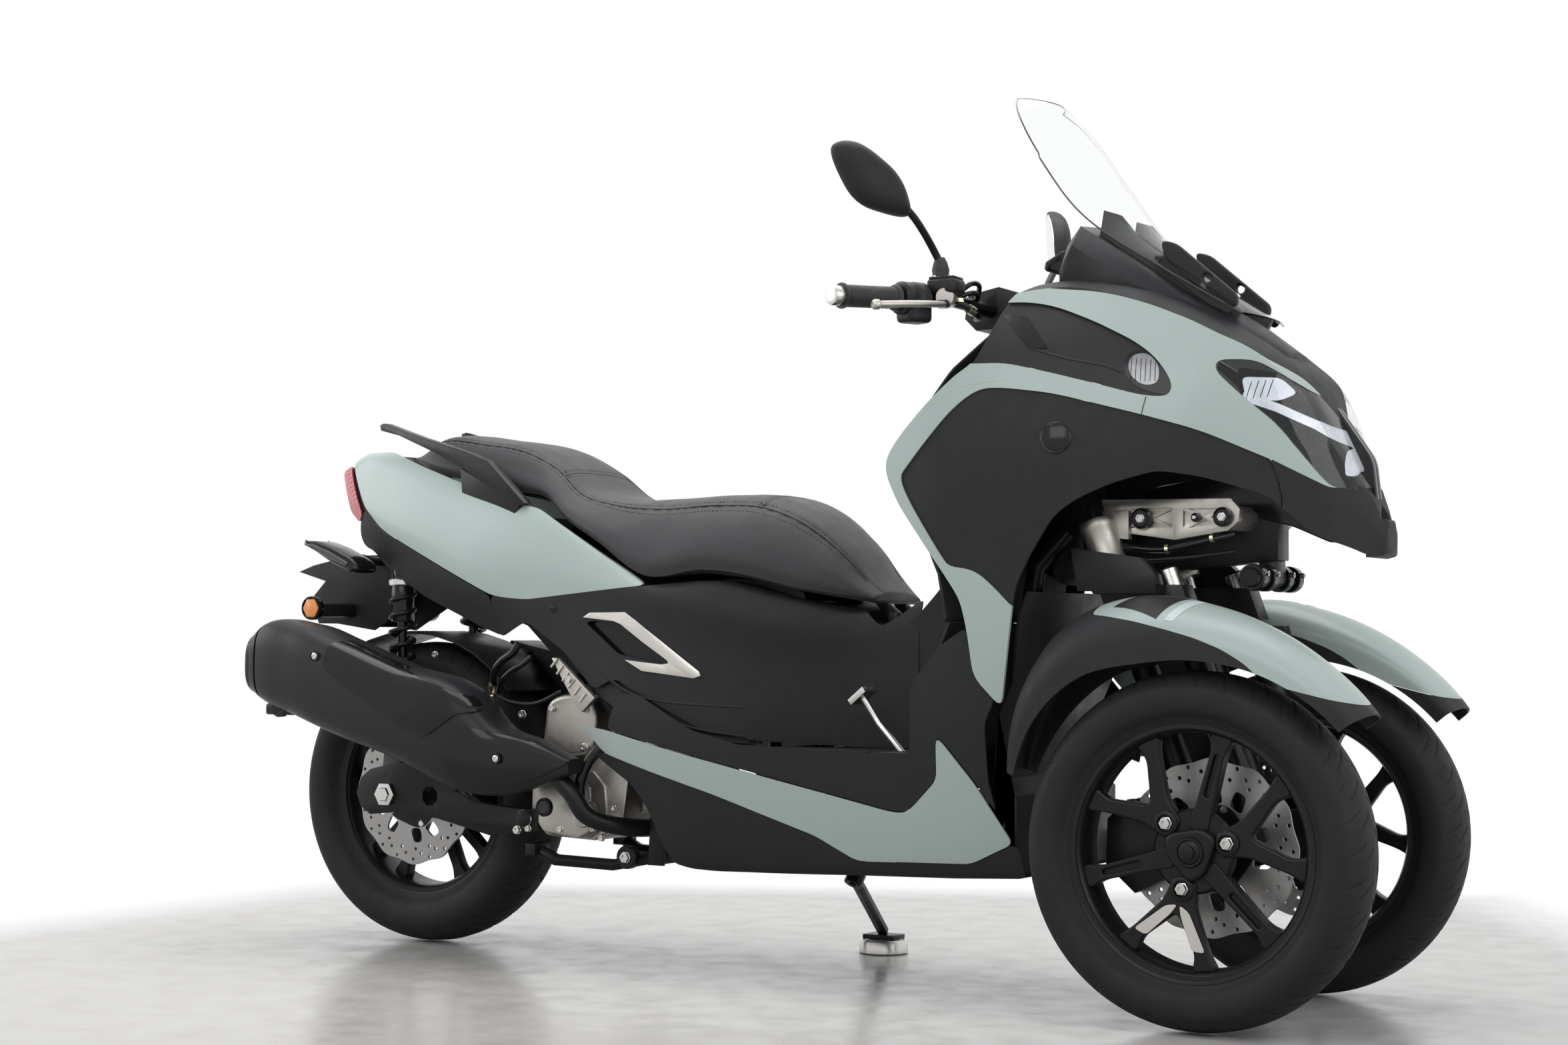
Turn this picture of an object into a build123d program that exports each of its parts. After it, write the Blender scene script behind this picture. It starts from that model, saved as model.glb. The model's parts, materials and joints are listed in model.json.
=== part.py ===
from build123d import *
import math
import os

# Motorized trike: a leaning three-wheeled maxi scooter with two steered front wheels.
# All values are millimetres and degrees. x runs forward from the rear axle, y to the rider's left, z up
# from the ground. The export shifts x so that the origin lies under the middle of the overall length.

# Running gear
WHEELBASE = 1595.0
TRACK = 470.0
RIM_SEAT_R = 177.8
FRONT_TYRE_R = 261.8
FRONT_TYRE_W = 120.0
REAR_TYRE_R = 275.8
REAR_TYRE_W = 140.0
FRONT_RIM_W = 84.0
REAR_RIM_W = 96.0
RIM_LIP = 12.0
RIM_LIP_T = 4.0
RIM_WALL = 6.0
DISC_R = 133.5
DISC_T = 5.0
DISC_Y = 180.0
REAR_DISC_Y = -64.0
DISC_WAVES = 16
DISC_ROOM = 8.5
AXLE_R = 10.0
HUB_R = 34.0
FORK_SPOKE_TURN = 15.0
RUNNING_GAP = 0.06
SEAT_GAP = 0.3
MOVING_GAP = 6.0
HINGE_PIN_R = 4.0
TUBE_SIDES = 8
FLATNESS = 0.5

# Steering geometry
CASTER = 20.0
TRAIL = 68.0
KINGPIN_Y = 142.0
KINGPIN_R = 15.0
LEG_SPACING = 89.0
SLIDER_R = 20.0
FORK_CLAMP = (600.0, 650.0)
FENDER_IN_Y = 168.0
STEM_X = 1215.0
STEM_Z = 1080.0
STEM_R = 16.0
STEM_LOW = 735.0
HEAD_LOW = 760.0
HEAD_TOP = 850.0

# Overall reach, from the rear axle
FRONT_END = WHEELBASE + FRONT_TYRE_R
REAR_END = -288.0
ORIGIN_X = (FRONT_END + REAR_END) / 2

# Bodywork
SKIN = 3.5
LEG_WALL_T = 5.0
ENGINE_Y = 118.0
CASE_Y = 88.0
SHOCK_COILS = 6
PANEL_GAP = 0.6
FLOOR_Z = 388.0
FLOOR_T = 6.0
FLOOR_DROP = 1.0
FLOOR_TOP = FLOOR_Z - FLOOR_DROP
PEDAL_GROOVE_X = 1038.0
BELLY_Z = 178.0


def side_prism(points, y_low, y_high):
    """Solid with the outline `points` in the side view, between two values of y."""
    face = make_face(Plane.XZ * Polyline(*points, close=True))
    return Pos(0, y_high, 0) * extrude(face, amount=y_high - y_low, dir=(0, -1, 0))


def mirrored(shape):
    """The same piece on the other side of the vehicle."""
    return mirror(shape, about=Plane.XZ)


def both(shape):
    """The right-hand piece and its left-hand twin, as one node of two solids."""
    return Compound([*shape.solids(), *mirrored(shape).solids()])


def flat_facets(a, b, c, d, other_way):
    """The patch between four corners: one flat facet, or two triangles where they lie out of plane."""
    corners = [Vector(*p) for p in (a, b, c, d)]
    volume = (corners[1] - corners[0]).cross(corners[2] - corners[0]).dot(corners[3] - corners[0])
    if abs(volume) < FLATNESS and len({a, b, c, d}) == 4:
        return [(a, b, c, d)]
    pair = [(b, c, d), (b, d, a)] if other_way else [(a, b, c), (a, c, d)]
    return [facet for facet in pair if len(set(facet)) == 3]


def through_sections(sections):
    """Closed solid through sections that hold the same number of points, with flat facets between them."""
    count = len(sections[0])
    facets = [tuple(sections[0]), tuple(sections[-1])]
    for first, second in zip(sections, sections[1:]):
        for n in range(count):
            after = (n + 1) % count
            facets += flat_facets(first[n], first[after], second[after], second[n], 2 * n >= count)
    return Solid(Shell([Face(Wire(Polyline(*facet, close=True))) for facet in facets]))


def pipe(points, radius, sides=TUBE_SIDES):
    """Tube through points, mitred at each bend, drawn with flats in place of its round section."""
    knots = [Vector(*point) for point in points]
    runs = [(after - before).normalized() for before, after in zip(knots, knots[1:])]
    first = Plane(origin=knots[0], z_dir=runs[0])
    offsets = []
    for n in range(sides):
        turn = 2 * math.pi * (n + 0.5) / sides
        offsets.append(first.x_dir * (radius * math.cos(turn)) + first.y_dir * (radius * math.sin(turn)))
    sections = []
    for n, knot in enumerate(knots):
        run = runs[max(n - 1, 0)]
        mitre = (run + runs[min(n, len(runs) - 1)]).normalized()
        offsets = [offset - run * (offset.dot(mitre) / run.dot(mitre)) for offset in offsets]
        sections.append([tuple(knot + offset) for offset in offsets])
    return through_sections(sections)


def round_bar(start, end, radius):
    """Straight round bar between two points."""
    path = Line(start, end)
    return sweep(Plane(path @ 0, z_dir=path % 0) * Circle(radius), path=path)


def cross_cylinder(x, z, radius, y_low, y_high):
    """Round pin or bore across the vehicle, its axis along y."""
    return Pos(x, (y_low + y_high) / 2, z) * Rot(90, 0, 0) * Cylinder(radius, y_high - y_low)


def ring_points(radius, sides, x=0.0, z=0.0):
    """Corners of a regular polygon in the side view."""
    turns = [2 * math.pi * (n + 0.5) / sides for n in range(sides)]
    return [(x + radius * math.cos(a), z + radius * math.sin(a)) for a in turns]


def cross_boss(x, z, radius, y_low, y_high, sides=TUBE_SIDES):
    """Boss, disc or tube across the vehicle, drawn with flats."""
    return side_prism(ring_points(radius, sides, x, z), y_low, y_high)


def ring_about_y(profile):
    """Revolves an (radius, y) outline about the y axis through the origin."""
    face = make_face(Plane.XY * Polyline(*profile, close=True))
    return revolve(face, axis=Axis.Y)


def half_section(x, points):
    """Closed section across the vehicle at x, from (half width, z) points down one side."""
    right = [(x, -y, z) for y, z in points]
    left = [(x, y, z) for y, z in reversed(points[1:-1])]
    return right + left


def body_loft(stations, inset=0.0):
    """Body through cross sections, each moved in by inset all round."""
    sections = []
    for x, points in stations:
        heights = [z for _, z in points]
        middle = (max(heights) + min(heights)) / 2
        moved = []
        for y, z in points:
            side = max(y - inset, 0.0) if y > 0 else 0.0
            up = z - inset if z > middle else z + inset
            moved.append((side, up))
        sections.append(half_section(x, moved))
    return through_sections(sections)


# Wheels, built about their own axle, with the outside facing -y

def tyre(outer_r, width, rim_w):
    """Tyre with a round crown, seated inside the lips of its rim."""
    half = width / 2
    bead = rim_w / 2 - RIM_LIP_T - RUNNING_GAP
    lip_top = RIM_SEAT_R + RIM_LIP + 1.5
    side = [
        (RIM_SEAT_R + RUNNING_GAP, bead),
        (lip_top, bead),
        (outer_r - 0.33 * width, half),
        (outer_r - 0.12 * width, 0.86 * half),
        (outer_r, 0.3 * half),
    ]
    return ring_about_y([(r, -y) for r, y in side] + [(r, y) for r, y in reversed(side)])


def rim_barrel(rim_w):
    """Rim, lip to lip."""
    half = rim_w / 2
    lip = RIM_SEAT_R + RIM_LIP
    inside = RIM_SEAT_R - RIM_WALL
    side = [(inside, half - 10), (lip, half), (RIM_SEAT_R, half - RIM_LIP_T)]
    return ring_about_y([(r, -y) for r, y in side] + [(r, y) for r, y in reversed(side)])


def spoke_bar(r_in, r_out, turn_in, turn_out, width_in, width_out, y_out, depth):
    """Tapered spoke, drawn in the wheel's own plane between two radii and two angles."""
    a_in = math.radians(turn_in)
    a_out = math.radians(turn_out)
    start = (r_in * math.cos(a_in), r_in * math.sin(a_in))
    end = (r_out * math.cos(a_out), r_out * math.sin(a_out))
    length = math.dist(start, end)
    side = (-(end[1] - start[1]) / length, (end[0] - start[0]) / length)
    corners = [
        (start[0] + side[0] * width_in / 2, start[1] + side[1] * width_in / 2),
        (end[0] + side[0] * width_out / 2, end[1] + side[1] * width_out / 2),
        (end[0] - side[0] * width_out / 2, end[1] - side[1] * width_out / 2),
        (start[0] - side[0] * width_in / 2, start[1] - side[1] * width_in / 2),
    ]
    return side_prism(corners, y_out, y_out + depth)


def front_rim():
    """Cast wheel with three forked and three straight spokes."""
    wheel = rim_barrel(FRONT_RIM_W)
    reach = RIM_SEAT_R - RIM_WALL + 2
    spokes = []
    for turn in range(3):
        fork_turn = FORK_SPOKE_TURN + 120 * turn
        for side in (-1, 1):
            spokes.append(spoke_bar(48, reach, fork_turn, fork_turn + side * 17, 20, 15, -30, 20))
        spokes.append(spoke_bar(20, reach, fork_turn + 60, fork_turn + 60, 30, 17, -28, 18))
        a = math.radians(fork_turn)
        spokes.append(cross_boss(54 * math.cos(a), 54 * math.sin(a), 15, -36, -6))
    disc_seat = TRACK / 2 - DISC_Y - DISC_T / 2
    hub = cross_boss(0, 0, HUB_R, -36, disc_seat, 20)
    web = cross_boss(0, 0, 60, -24, -8, 20)
    return wheel + spokes + hub + web - cross_cylinder(0, 0, AXLE_R, -40, disc_seat + 1)


def rear_rim():
    """Cast wheel with five pairs of spokes."""
    wheel = rim_barrel(REAR_RIM_W)
    reach = RIM_SEAT_R - RIM_WALL + 2
    spokes = []
    for turn in range(5):
        middle = 90 + 72 * turn
        for side in (-1, 1):
            spokes.append(spoke_bar(30, reach, middle + side * 12, middle + side * 13, 20, 15, -14, 24))
    hub = cross_boss(0, 0, HUB_R, REAR_DISC_Y + DISC_T, 50, 20)
    return wheel + spokes + hub - cross_cylinder(0, 0, AXLE_R, -70, 60)


def brake_disc(y_low):
    """Wave-edged brake disc with five windows, bolted to the end of the hub."""
    edge = []
    for n in range(DISC_WAVES):
        for share, radius in ((0, DISC_R), (0.5, DISC_R - 4)):
            a = math.radians(360 * (n + share) / DISC_WAVES)
            edge.append((radius * math.cos(a), radius * math.sin(a)))
    disc = side_prism(edge, y_low, y_low + DISC_T)
    for n in range(5):
        corners = [(60, -20), (94, -27), (98, 0), (94, 27), (60, 20)]
        turns = [(r, math.radians(72 * n + turn)) for r, turn in corners]
        window = [(r * math.cos(a), r * math.sin(a)) for r, a in turns]
        disc = disc - side_prism(window, y_low - 1, y_low + DISC_T + 1)
    return disc - cross_boss(0, 0, AXLE_R + 4, y_low - 1, y_low + DISC_T + 1, 12)


# Front body: one smooth form, cut into its panels along the lines of the side view

# x, half width, half width of the shoulder, height of the shoulder, height of the middle, lower edge
FRONT_STATIONS = [
    (1080, 256, 205, 1060, 1078, 440),
    (1170, 270, 203, 1085, 1105, 440),
    (1265, 267, 194, 1098, 1125, 440),
    (1352, 257, 176, 1108, 1134, 470),
    (1449, 238, 171, 1088, 1118, 520),
    (1524, 218, 165, 1061, 1090, 580),
    (1592, 192, 158, 1027, 1052, 620),
    (1656, 160, 142, 990, 1006, 650),
    (1708, 130, 116, 938, 958, 670),
    (1752, 98, 84, 850, 872, 685),
    (1804, 34, 26, 742, 760, 694),
]
WAIST_Z = 880.0


def front_form(inset):
    """The whole front body as one solid, moved in by inset."""
    stations = []
    for x, half, shoulder, shoulder_z, top_z, low_z in FRONT_STATIONS:
        waist = min(WAIST_Z, (shoulder_z * 2 + low_z) / 3)
        upper = (shoulder_z + waist) / 2
        points = [
            (0, top_z),
            (shoulder * 0.72, top_z - (top_z - shoulder_z) * 0.35),
            (shoulder, shoulder_z),
            (shoulder + (half - shoulder) * 0.72, upper),
            (half, waist),
            (half * 0.99, (waist + low_z) / 2),
            (half * 0.96, low_z),
            (0, low_z),
        ]
        stations.append((x, points))
    return body_loft(stations, inset)


FRONT_OUTLINE = [
    (1241, 509), (1231, 581), (1221, 625), (1199, 658), (1153, 720), (1111, 775), (1087, 821), (1087, 848),
    (1110, 879), (1159, 929), (1205, 972), (1232, 990), (1265, 1085), (1315, 1140), (1391, 1160),
    (1524, 1130),
    (1656, 1050), (1734, 960), (1756, 830), (1791, 783), (1802, 747), (1804, 701), (1789, 694), (1772, 705),
    (1729, 723), (1667, 783), (1583, 809), (1521, 819), (1457, 801), (1406, 779), (1369, 753), (1330, 690),
    (1308, 644), (1296, 548), (1286, 462),
]
SIGNAL_AREA = [
    (1200, 990), (1286, 988), (1360, 970), (1434, 950), (1497, 932), (1531, 929), (1540, 938), (1537, 956),
    (1513, 989), (1479, 1015), (1415, 1048), (1350, 1075), (1305, 1085), (1240, 1087),
]
HEADLIGHT_AREA = [
    (1599, 985), (1650, 984), (1694, 956), (1760, 900), (1770, 792), (1750, 792), (1718, 836), (1681, 888),
    (1632, 933), (1596, 969),
]
SIDE_AREA = [
    (1128, 833), (1113, 817), (1128, 785), (1192, 689), (1203, 677), (1239, 673), (1264, 657), (1320, 640),
    (1420, 700), (1600, 700), (1682, 700), (1688, 784), (1673, 835), (1583, 877), (1500, 902), (1364, 938),
    (1282, 949), (1245, 948), (1206, 920),
]
NOSE_AREA = [
    (1674, 835), (1750, 792), (1790, 830), (1830, 760), (1820, 660), (1683, 660), (1689, 784),
]
FOREHEAD_PLAN = [
    (1200, 200), (1315, 181), (1391, 174), (1449, 171), (1524, 165), (1592, 158), (1656, 141), (1690, 108),
    (1715, 66), (1745, 0),
]


def area_prism(points, amount=0.0, reach=400.0):
    """Prism over a side-view area, right across the vehicle."""
    face = make_face(Polyline(*points, close=True))
    if amount:
        face = offset(face, amount=amount, kind=Kind.INTERSECTION)
    return Pos(0, reach, 0) * extrude(Plane.XZ * face, amount=2 * reach, dir=(0, -1, 0))


def forehead_prism(amount=0.0):
    """Upright prism over the plan of the dark middle of the front."""
    edge = FOREHEAD_PLAN + [(x, -y) for x, y in reversed(FOREHEAD_PLAN[:-1])]
    face = make_face(Polyline(*edge, close=True))
    if amount:
        face = offset(face, amount=amount, kind=Kind.INTERSECTION)
    return Pos(0, 0, 880) * extrude(face, amount=400, dir=(0, 0, 1))


def front_panels():
    """Cuts the front body's shell into its painted and dark panels."""
    shell = (front_form(0) - front_form(SKIN)) & area_prism(FRONT_OUTLINE)
    forehead = shell & forehead_prism()
    sides = shell - forehead_prism(PANEL_GAP)
    signal = sides & area_prism(SIGNAL_AREA)
    headlight = sides & area_prism(HEADLIGHT_AREA)
    dark = sides & area_prism(SIDE_AREA)
    nose = (sides & area_prism(NOSE_AREA)) - area_prism(HEADLIGHT_AREA, PANEL_GAP)
    painted = sides
    for area in (SIGNAL_AREA, HEADLIGHT_AREA, SIDE_AREA, NOSE_AREA):
        painted = painted - area_prism(area, PANEL_GAP)
    return {
        "cowl_frames": painted,
        "cowl_sides": dark,
        "signal_panels": signal,
        "headlight": headlight,
        "nose": nose,
        "forehead": forehead,
    }


# Rear body: tail, side covers and seat

# x, then (half width, height) from the top of the side down to its lower edge
REAR_STATIONS = [
    (-170, [(60, 880), (84, 858), (84, 790), (70, 740), (58, 716)]),
    (-100, [(78, 902), (102, 885), (120, 800), (104, 745), (80, 705)]),
    (0, [(96, 900), (122, 880), (156, 772), (140, 705), (120, 664)]),
    (195, [(122, 850), (152, 826), (186, 730), (186, 655), (160, 590)]),
    (350, [(136, 806), (166, 788), (196, 710), (198, 628), (186, 540)]),
    (480, [(140, 730), (180, 716), (200, 668), (202, 610), (205, 478)]),
    (600, [(140, 668), (184, 655), (200, 640), (200, 570), (216, 420)]),
    (720, [(140, 664), (172, 655), (190, 620), (186, 540), (196, 396)]),
    (850, [(116, 632), (138, 625), (150, 590), (142, 520), (140, 388)]),
    (960, [(80, 612), (96, 604), (104, 580), (104, 520), (106, 388)]),
    (1070, [(64, 640), (78, 632), (92, 600), (96, 520), (98, 388)]),
]
TAIL_AREA = [
    (-141, 901), (-34, 901), (195, 827), (265, 801), (349, 788), (595, 651), (349, 627), (294, 631),
    (267, 636),
    (-15, 757), (-69, 799), (-136, 893),
]
TAIL_LIGHT_AREA = [(-164, 876), (-137, 879), (-78, 786), (-92, 770), (-121, 792)]
UNDER_TAIL_AREA = [
    (-70, 796), (-15, 755), (266, 634), (276, 554), (251, 571), (78, 634), (-39, 692), (-68, 719),
    (-98, 726),
    (-104, 745), (-93, 769),
]
SIDE_COVER_AREA = [
    (267, 636), (294, 631), (349, 627), (595, 651), (627, 655), (698, 660), (736, 659), (790, 646),
    (855, 628),
    (895, 620), (960, 612), (988, 585), (1004, 590), (1032, 608), (1062, 633), (1062, FLOOR_TOP),
    (966, FLOOR_TOP),
    (797, 395),
    (709, 413), (544, 495), (500, 474), (430, 540), (345, 590), (276, 560),
]


def rear_form(inset):
    """The rear body as one solid, moved in by inset."""
    stations = []
    for x, side in REAR_STATIONS:
        points = [(0, side[0][1] + 2)] + side + [(0, side[-1][1])]
        stations.append((x, points))
    return body_loft(stations, inset)


def rear_panels():
    """Cuts the rear body's shell into tail, under tail, lamp and side covers."""
    outer = rear_form(0)
    shell = outer - rear_form(SKIN)
    side_only = shell - Pos(440, 0, 700) * Box(1300, 2 * 58, 700)
    whole = shell
    hinge_room = Pos(SEAT_HINGE[0] - 12, 0, SEAT_HINGE[1]) * Box(84, 104, 60)
    return {
        "tail_panels": side_only & area_prism(TAIL_AREA, -PANEL_GAP / 2),
        "tail_light": whole & area_prism(TAIL_LIGHT_AREA, -PANEL_GAP / 2),
        "tail_under_cover": side_only & area_prism(UNDER_TAIL_AREA, -PANEL_GAP / 2),
        "side_covers": (whole & area_prism(SIDE_COVER_AREA, -PANEL_GAP / 2)) - hinge_room,
    }


# x, lower edge, top of the middle, half width at the top, widest half width
SEAT_STATIONS = [
    (10, 882, 893, 60, 84),
    (60, 862, 922, 84, 108),
    (190, 834, 920, 100, 128),
    (290, 812, 900, 104, 138),
    (350, 800, 866, 104, 142),
    (400, 764, 826, 112, 160),
    (480, 722, 806, 124, 178),
    (580, 664, 805, 130, 186),
    (700, 672, 809, 124, 182),
    (780, 662, 804, 112, 170),
    (850, 644, 772, 94, 148),
    (910, 634, 716, 76, 122),
    (950, 627, 664, 60, 98),
    (972, 622, 640, 50, 80),
]
SEAT_BASE_T = 5.0
SEAT_HINGE = (984.0, 600.0)


def seat_cushion():
    """Two-level seat cushion."""
    stations = []
    for x, low, top, half_top, half in SEAT_STATIONS:
        base = low + SEAT_BASE_T + SEAT_GAP
        rise = top - base
        points = [
            (0, top),
            (half_top * 0.6, top - rise * 0.03),
            (half_top, top - rise * 0.16),
            (half * 0.94, base + rise * 0.42),
            (half, base + rise * 0.16),
            (half * 0.97, base),
            (0, base),
        ]
        stations.append((x, points))
    return body_loft(stations)


def seat_base():
    """Moulded seat base under the cushion, with its hinge lugs at the front."""
    stations = []
    for x, low, _, _, half in SEAT_STATIONS:
        points = [(0, low + SEAT_BASE_T), (half * 0.92, low + SEAT_BASE_T), (half * 0.9, low), (0, low)]
        stations.append((x, points))
    base = body_loft(stations)
    x, z = SEAT_HINGE
    for y in (-30, 30):
        lug = side_prism([(940, 632), (970, 625), (x + 8, z + 8), (x + 8, z - 8), (x - 8, z - 8)], y - 5,
                         y + 5)
        base = base + (lug - cross_cylinder(x, z, HINGE_PIN_R + RUNNING_GAP, y - 6, y + 6))
    return base


def storage_tub():
    """Open box under the seat, with the shelf, lugs and pin that carry the seat's hinge."""
    outline = [(230, 780), (330, 776), (400, 740), (560, 650), (830, 628), (830, TUB_FLOOR),
               (420, TUB_FLOOR), (230, 640)]
    inner = [(234, 800), (334, 796), (404, 760), (564, 670), (826, 650), (826, TUB_FLOOR + 4),
             (422, TUB_FLOOR + 4), (234, 642)]
    tub = side_prism(outline, -118, 118) - side_prism(inner, -114, 114)
    x, z = SEAT_HINGE
    tub = tub + side_prism([(829, 556), (x + 10, 568), (x + 10, 562), (829, 542)], -42, 42)
    for y in (-40, 40):
        tub = tub + side_prism([(x - 8, 562), (x + 8, 564), (x + 8, z + 8), (x - 8, z + 8)], y - 2, y + 2)
    return tub + cross_cylinder(x, z, HINGE_PIN_R, -41, 41)


def grab_rails():
    """Pair of rear grab rails, fins that stand clear of the tail."""
    fin = [(-41, 948), (-31, 951), (68, 921), (180, 892), (240, 872), (331, 795), (315, 790), (250, 822),
           (176, 862), (102, 893), (10, 927), (-38, 938)]
    rail = side_prism(fin, -10, 10)
    foot = side_prism([(170, 862), (246, 826), (318, 790), (300, 770), (230, 790), (176, 812)], -9, 9)
    placed = Pos(331, -170, 0) * Rot(0, 0, -8) * Pos(-331, 0, 0) * (rail + foot)
    return both(placed - rear_form(-SEAT_GAP))


# Frame, engine and running gear

SHOCK_TOP = (1.0, 692.0)
SHOCK_LOW = (2.0, 420.0)
SHOCK_Y = 105.0
SHOCK_EYE_R = 13.0
PEG_PIVOT = (455.0, 492.0)
PEG_Y = 203.0
FRAME_TUBE_R = 15.0


def head_block():
    """Cast block at the steering head that the tubes, the beam and the lower arms meet."""
    return side_prism([(1240, 690), (1300, 652), (1335, 700), (1330, 790), (1262, 800)], -62, 62)


TUB_FLOOR = 470.0
STAY_R = 9.0
STAY_TOP = STAY_R * math.cos(math.radians(22.5))


def seat_posts():
    """Posts under the storage tub, cross tubes under the floor boards, and pads under the tunnel."""
    stays = None
    for x in (790, 1000):
        tube = cross_boss(x, FLOOR_TOP - FLOOR_T - SEAT_GAP - STAY_TOP, STAY_R, -192, 192)
        stays = tube if stays is None else stays + tube
    for side in (-1, 1):
        stays = stays + pipe([(790, side * 92, 235), (790, side * 92, TUB_FLOOR - SEAT_GAP)], 11)
        stays = stays + pipe([(1000, side * 92, 235), (1000, side * 92, 372)], STAY_R)
        stays = stays + Pos(1000, side * 94.5, FLOOR_Z - SEAT_GAP - 6) * Box(18, 9, 12)
    return stays


def frame_tubes():
    """Twin-tube frame from the steering head to the tail, with its stand and shock mounts."""
    side_path = [(1305, -56, 735), (1262, -78, 680), (1222, -90, 400), (1190, -92, 250), (1120, -92, 235),
                 (650, -92, 235), (560, -130, 330), (430, -150, 560), (170, -140, 648), (30, -80, 702),
                 (-50, -52, 730)]
    left = pipe(side_path, FRAME_TUBE_R)
    whole = left + mirrored(left)
    shock_mount = SHOCK_Y - SHOCK_EYE_R
    for x, z, half in ((1080, 235, 92), (680, 235, 92), (500, 436, 136), (*SHOCK_TOP, shock_mount)):
        whole = whole + cross_boss(x, z, 11, -half, half)
    beam = side_prism([(1300, 660), (1640, 690), (1640, 780), (1300, 790)], -BEAM_HALF, BEAM_HALF)
    head_tube = pipe([(steer_axis_point(HEAD_LOW), 0, HEAD_LOW), (steer_axis_point(HEAD_TOP), 0, HEAD_TOP)],
                     STEM_R + 9, 12)
    bore = round_bar((steer_axis_point(STEM_LOW), 0, STEM_LOW), (steer_axis_point(950), 0, 950),
                     STEM_R + RUNNING_GAP)
    for side in (-1, 1):
        ends = sorted((side * 144, side * PEG_Y))
        whole = whole + cross_boss(*PEG_PIVOT, 10, *ends)
    whole = whole + seat_posts() + head_block() + beam + head_tube - bore
    return whole + centre_stand_lugs() + side_stand_mount()


def engine_block():
    """Engine as one block with its crankcase cover and cylinder."""
    case = side_prism([(306, 250), (340, 216), (440, 212), (500, 232), (512, 320), (470, 385), (360, 395),
                       (308, 340)], -ENGINE_Y, CASE_Y)
    cylinder = side_prism([(480, 272), (490, 262), (606, 262), (606, 372), (480, 380)], -66, 66)
    cover = side_prism([(350, 240), (362, 226), (436, 218), (456, 228), (466, 260), (462, 306), (440, 328),
                        (372, 330), (350, 306)], -ENGINE_Y - 40, 1 - ENGINE_Y)
    return case + cylinder + cover


CASE_TOP = [(-45, 320), (60, 345), (300, 392), (480, 370)]


def transmission_case():
    """Belt-drive case on the left, back to the rear axle, with the left shock's lower mount."""
    outline = [(500, 250), (520, 290)] + CASE_TOP[::-1] + [(-62, 276), (-40, 235), (60, 214), (300, 205),
                                                           (470, 215)]
    case = side_prism(outline, CASE_Y, CASE_Y + 80)
    rib = side_prism([(440, 250), (460, 300), (430, 340), (300, 360), (80, 318), (0, 290), (60, 245),
                      (300, 232)],
                     CASE_Y + 79, CASE_Y + 88)
    return case + rib + mirrored(shock_lug())


def shock_lug():
    """Upright lug beside a shock's lower eye."""
    x, z = SHOCK_LOW
    y = -SHOCK_Y - SHOCK_EYE_R
    return side_prism([(x - 24, 316), (x + 24, 316), (x + 14, z + 14), (x - 14, z + 14)], y - 10,
                      y - RUNNING_GAP)


def swingarm():
    """Right-hand swingarm with the axle clamp, lightening hole, axle and shock lug."""
    outline = [(-72, 276), (-62, 304), (-40, 320), (20, 334), (70, 332), (130, 300), (200, 268), (290, 262),
               (338, 262), (338, 226), (235, 212), (120, 236), (40, 246), (-40, 238), (-62, 252)]
    inside = -ENGINE_Y - RUNNING_GAP
    arm = side_prism(outline, inside - 22, inside) - cross_boss(98, 276, 18, -150, -96)
    axle = cross_cylinder(0, REAR_TYRE_R, AXLE_R - RUNNING_GAP, inside - 1, CASE_Y - RUNNING_GAP)
    nut = cross_boss(0, REAR_TYRE_R, 18, inside - 32, inside - 21, 6)
    pivot = cross_boss(312, 246, 16, inside - 30, inside - 21)
    return arm + axle + nut + pivot + shock_lug()


def rear_shock():
    """Spring and damper between two eyes, with the coils as a stack of discs."""
    length = math.dist(SHOCK_TOP, SHOCK_LOW)
    parts = [(0.2 * length, 0.24 * length, 26)]
    for n in range(SHOCK_COILS):
        z = (0.27 + 0.06 * n) * length
        parts.append((z, z + 9, 24))
    parts.append((0.72 * length, 0.9 * length, 22))
    column = pipe([(0, 0, 0), (0, 0, length)], 9)
    for low, high, radius in parts:
        column = column + pipe([(0, 0, low), (0, 0, high)], radius)
    lean = math.degrees(math.atan2(SHOCK_TOP[0] - SHOCK_LOW[0], SHOCK_TOP[1] - SHOCK_LOW[1]))
    column = Pos(SHOCK_LOW[0], -SHOCK_Y, SHOCK_LOW[1]) * Rot(0, lean, 0) * column
    for x, z in (SHOCK_TOP, SHOCK_LOW):
        column = column + cross_boss(x, z, SHOCK_EYE_R + 1, -SHOCK_Y - SHOCK_EYE_R, SHOCK_EYE_R - SHOCK_Y)
    return column


# x, low, high, inner y and outer y of the silencer
MUFFLER_STATIONS = [
    (-240, 478, 532, -178, -252),
    (-218, 452, 571, -162, -272),
    (-111, 410, 583, -150, -287),
    (-20, 382, 556, -150, -289),
    (110, 346, 512, -152, -287),
    (263, 292, 465, -158, -277),
    (320, 290, 412, -165, -267),
    (395, 308, 388, -178, -252),
    (477, 335, 355, -196, -236),
]


def clipped_section(x, low, high, y_in, y_out):
    """Eight-sided section with clipped corners, across the vehicle."""
    cut = 0.28 * min(high - low, abs(y_out - y_in))
    corners = [
        (y_in, low + cut), (y_in, high - cut), (y_in - cut, high), (y_out + cut, high), (y_out, high - cut),
        (y_out, low + cut), (y_out + cut, low), (y_in - cut, low),
    ]
    return [(x, y, z) for y, z in corners]


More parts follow.
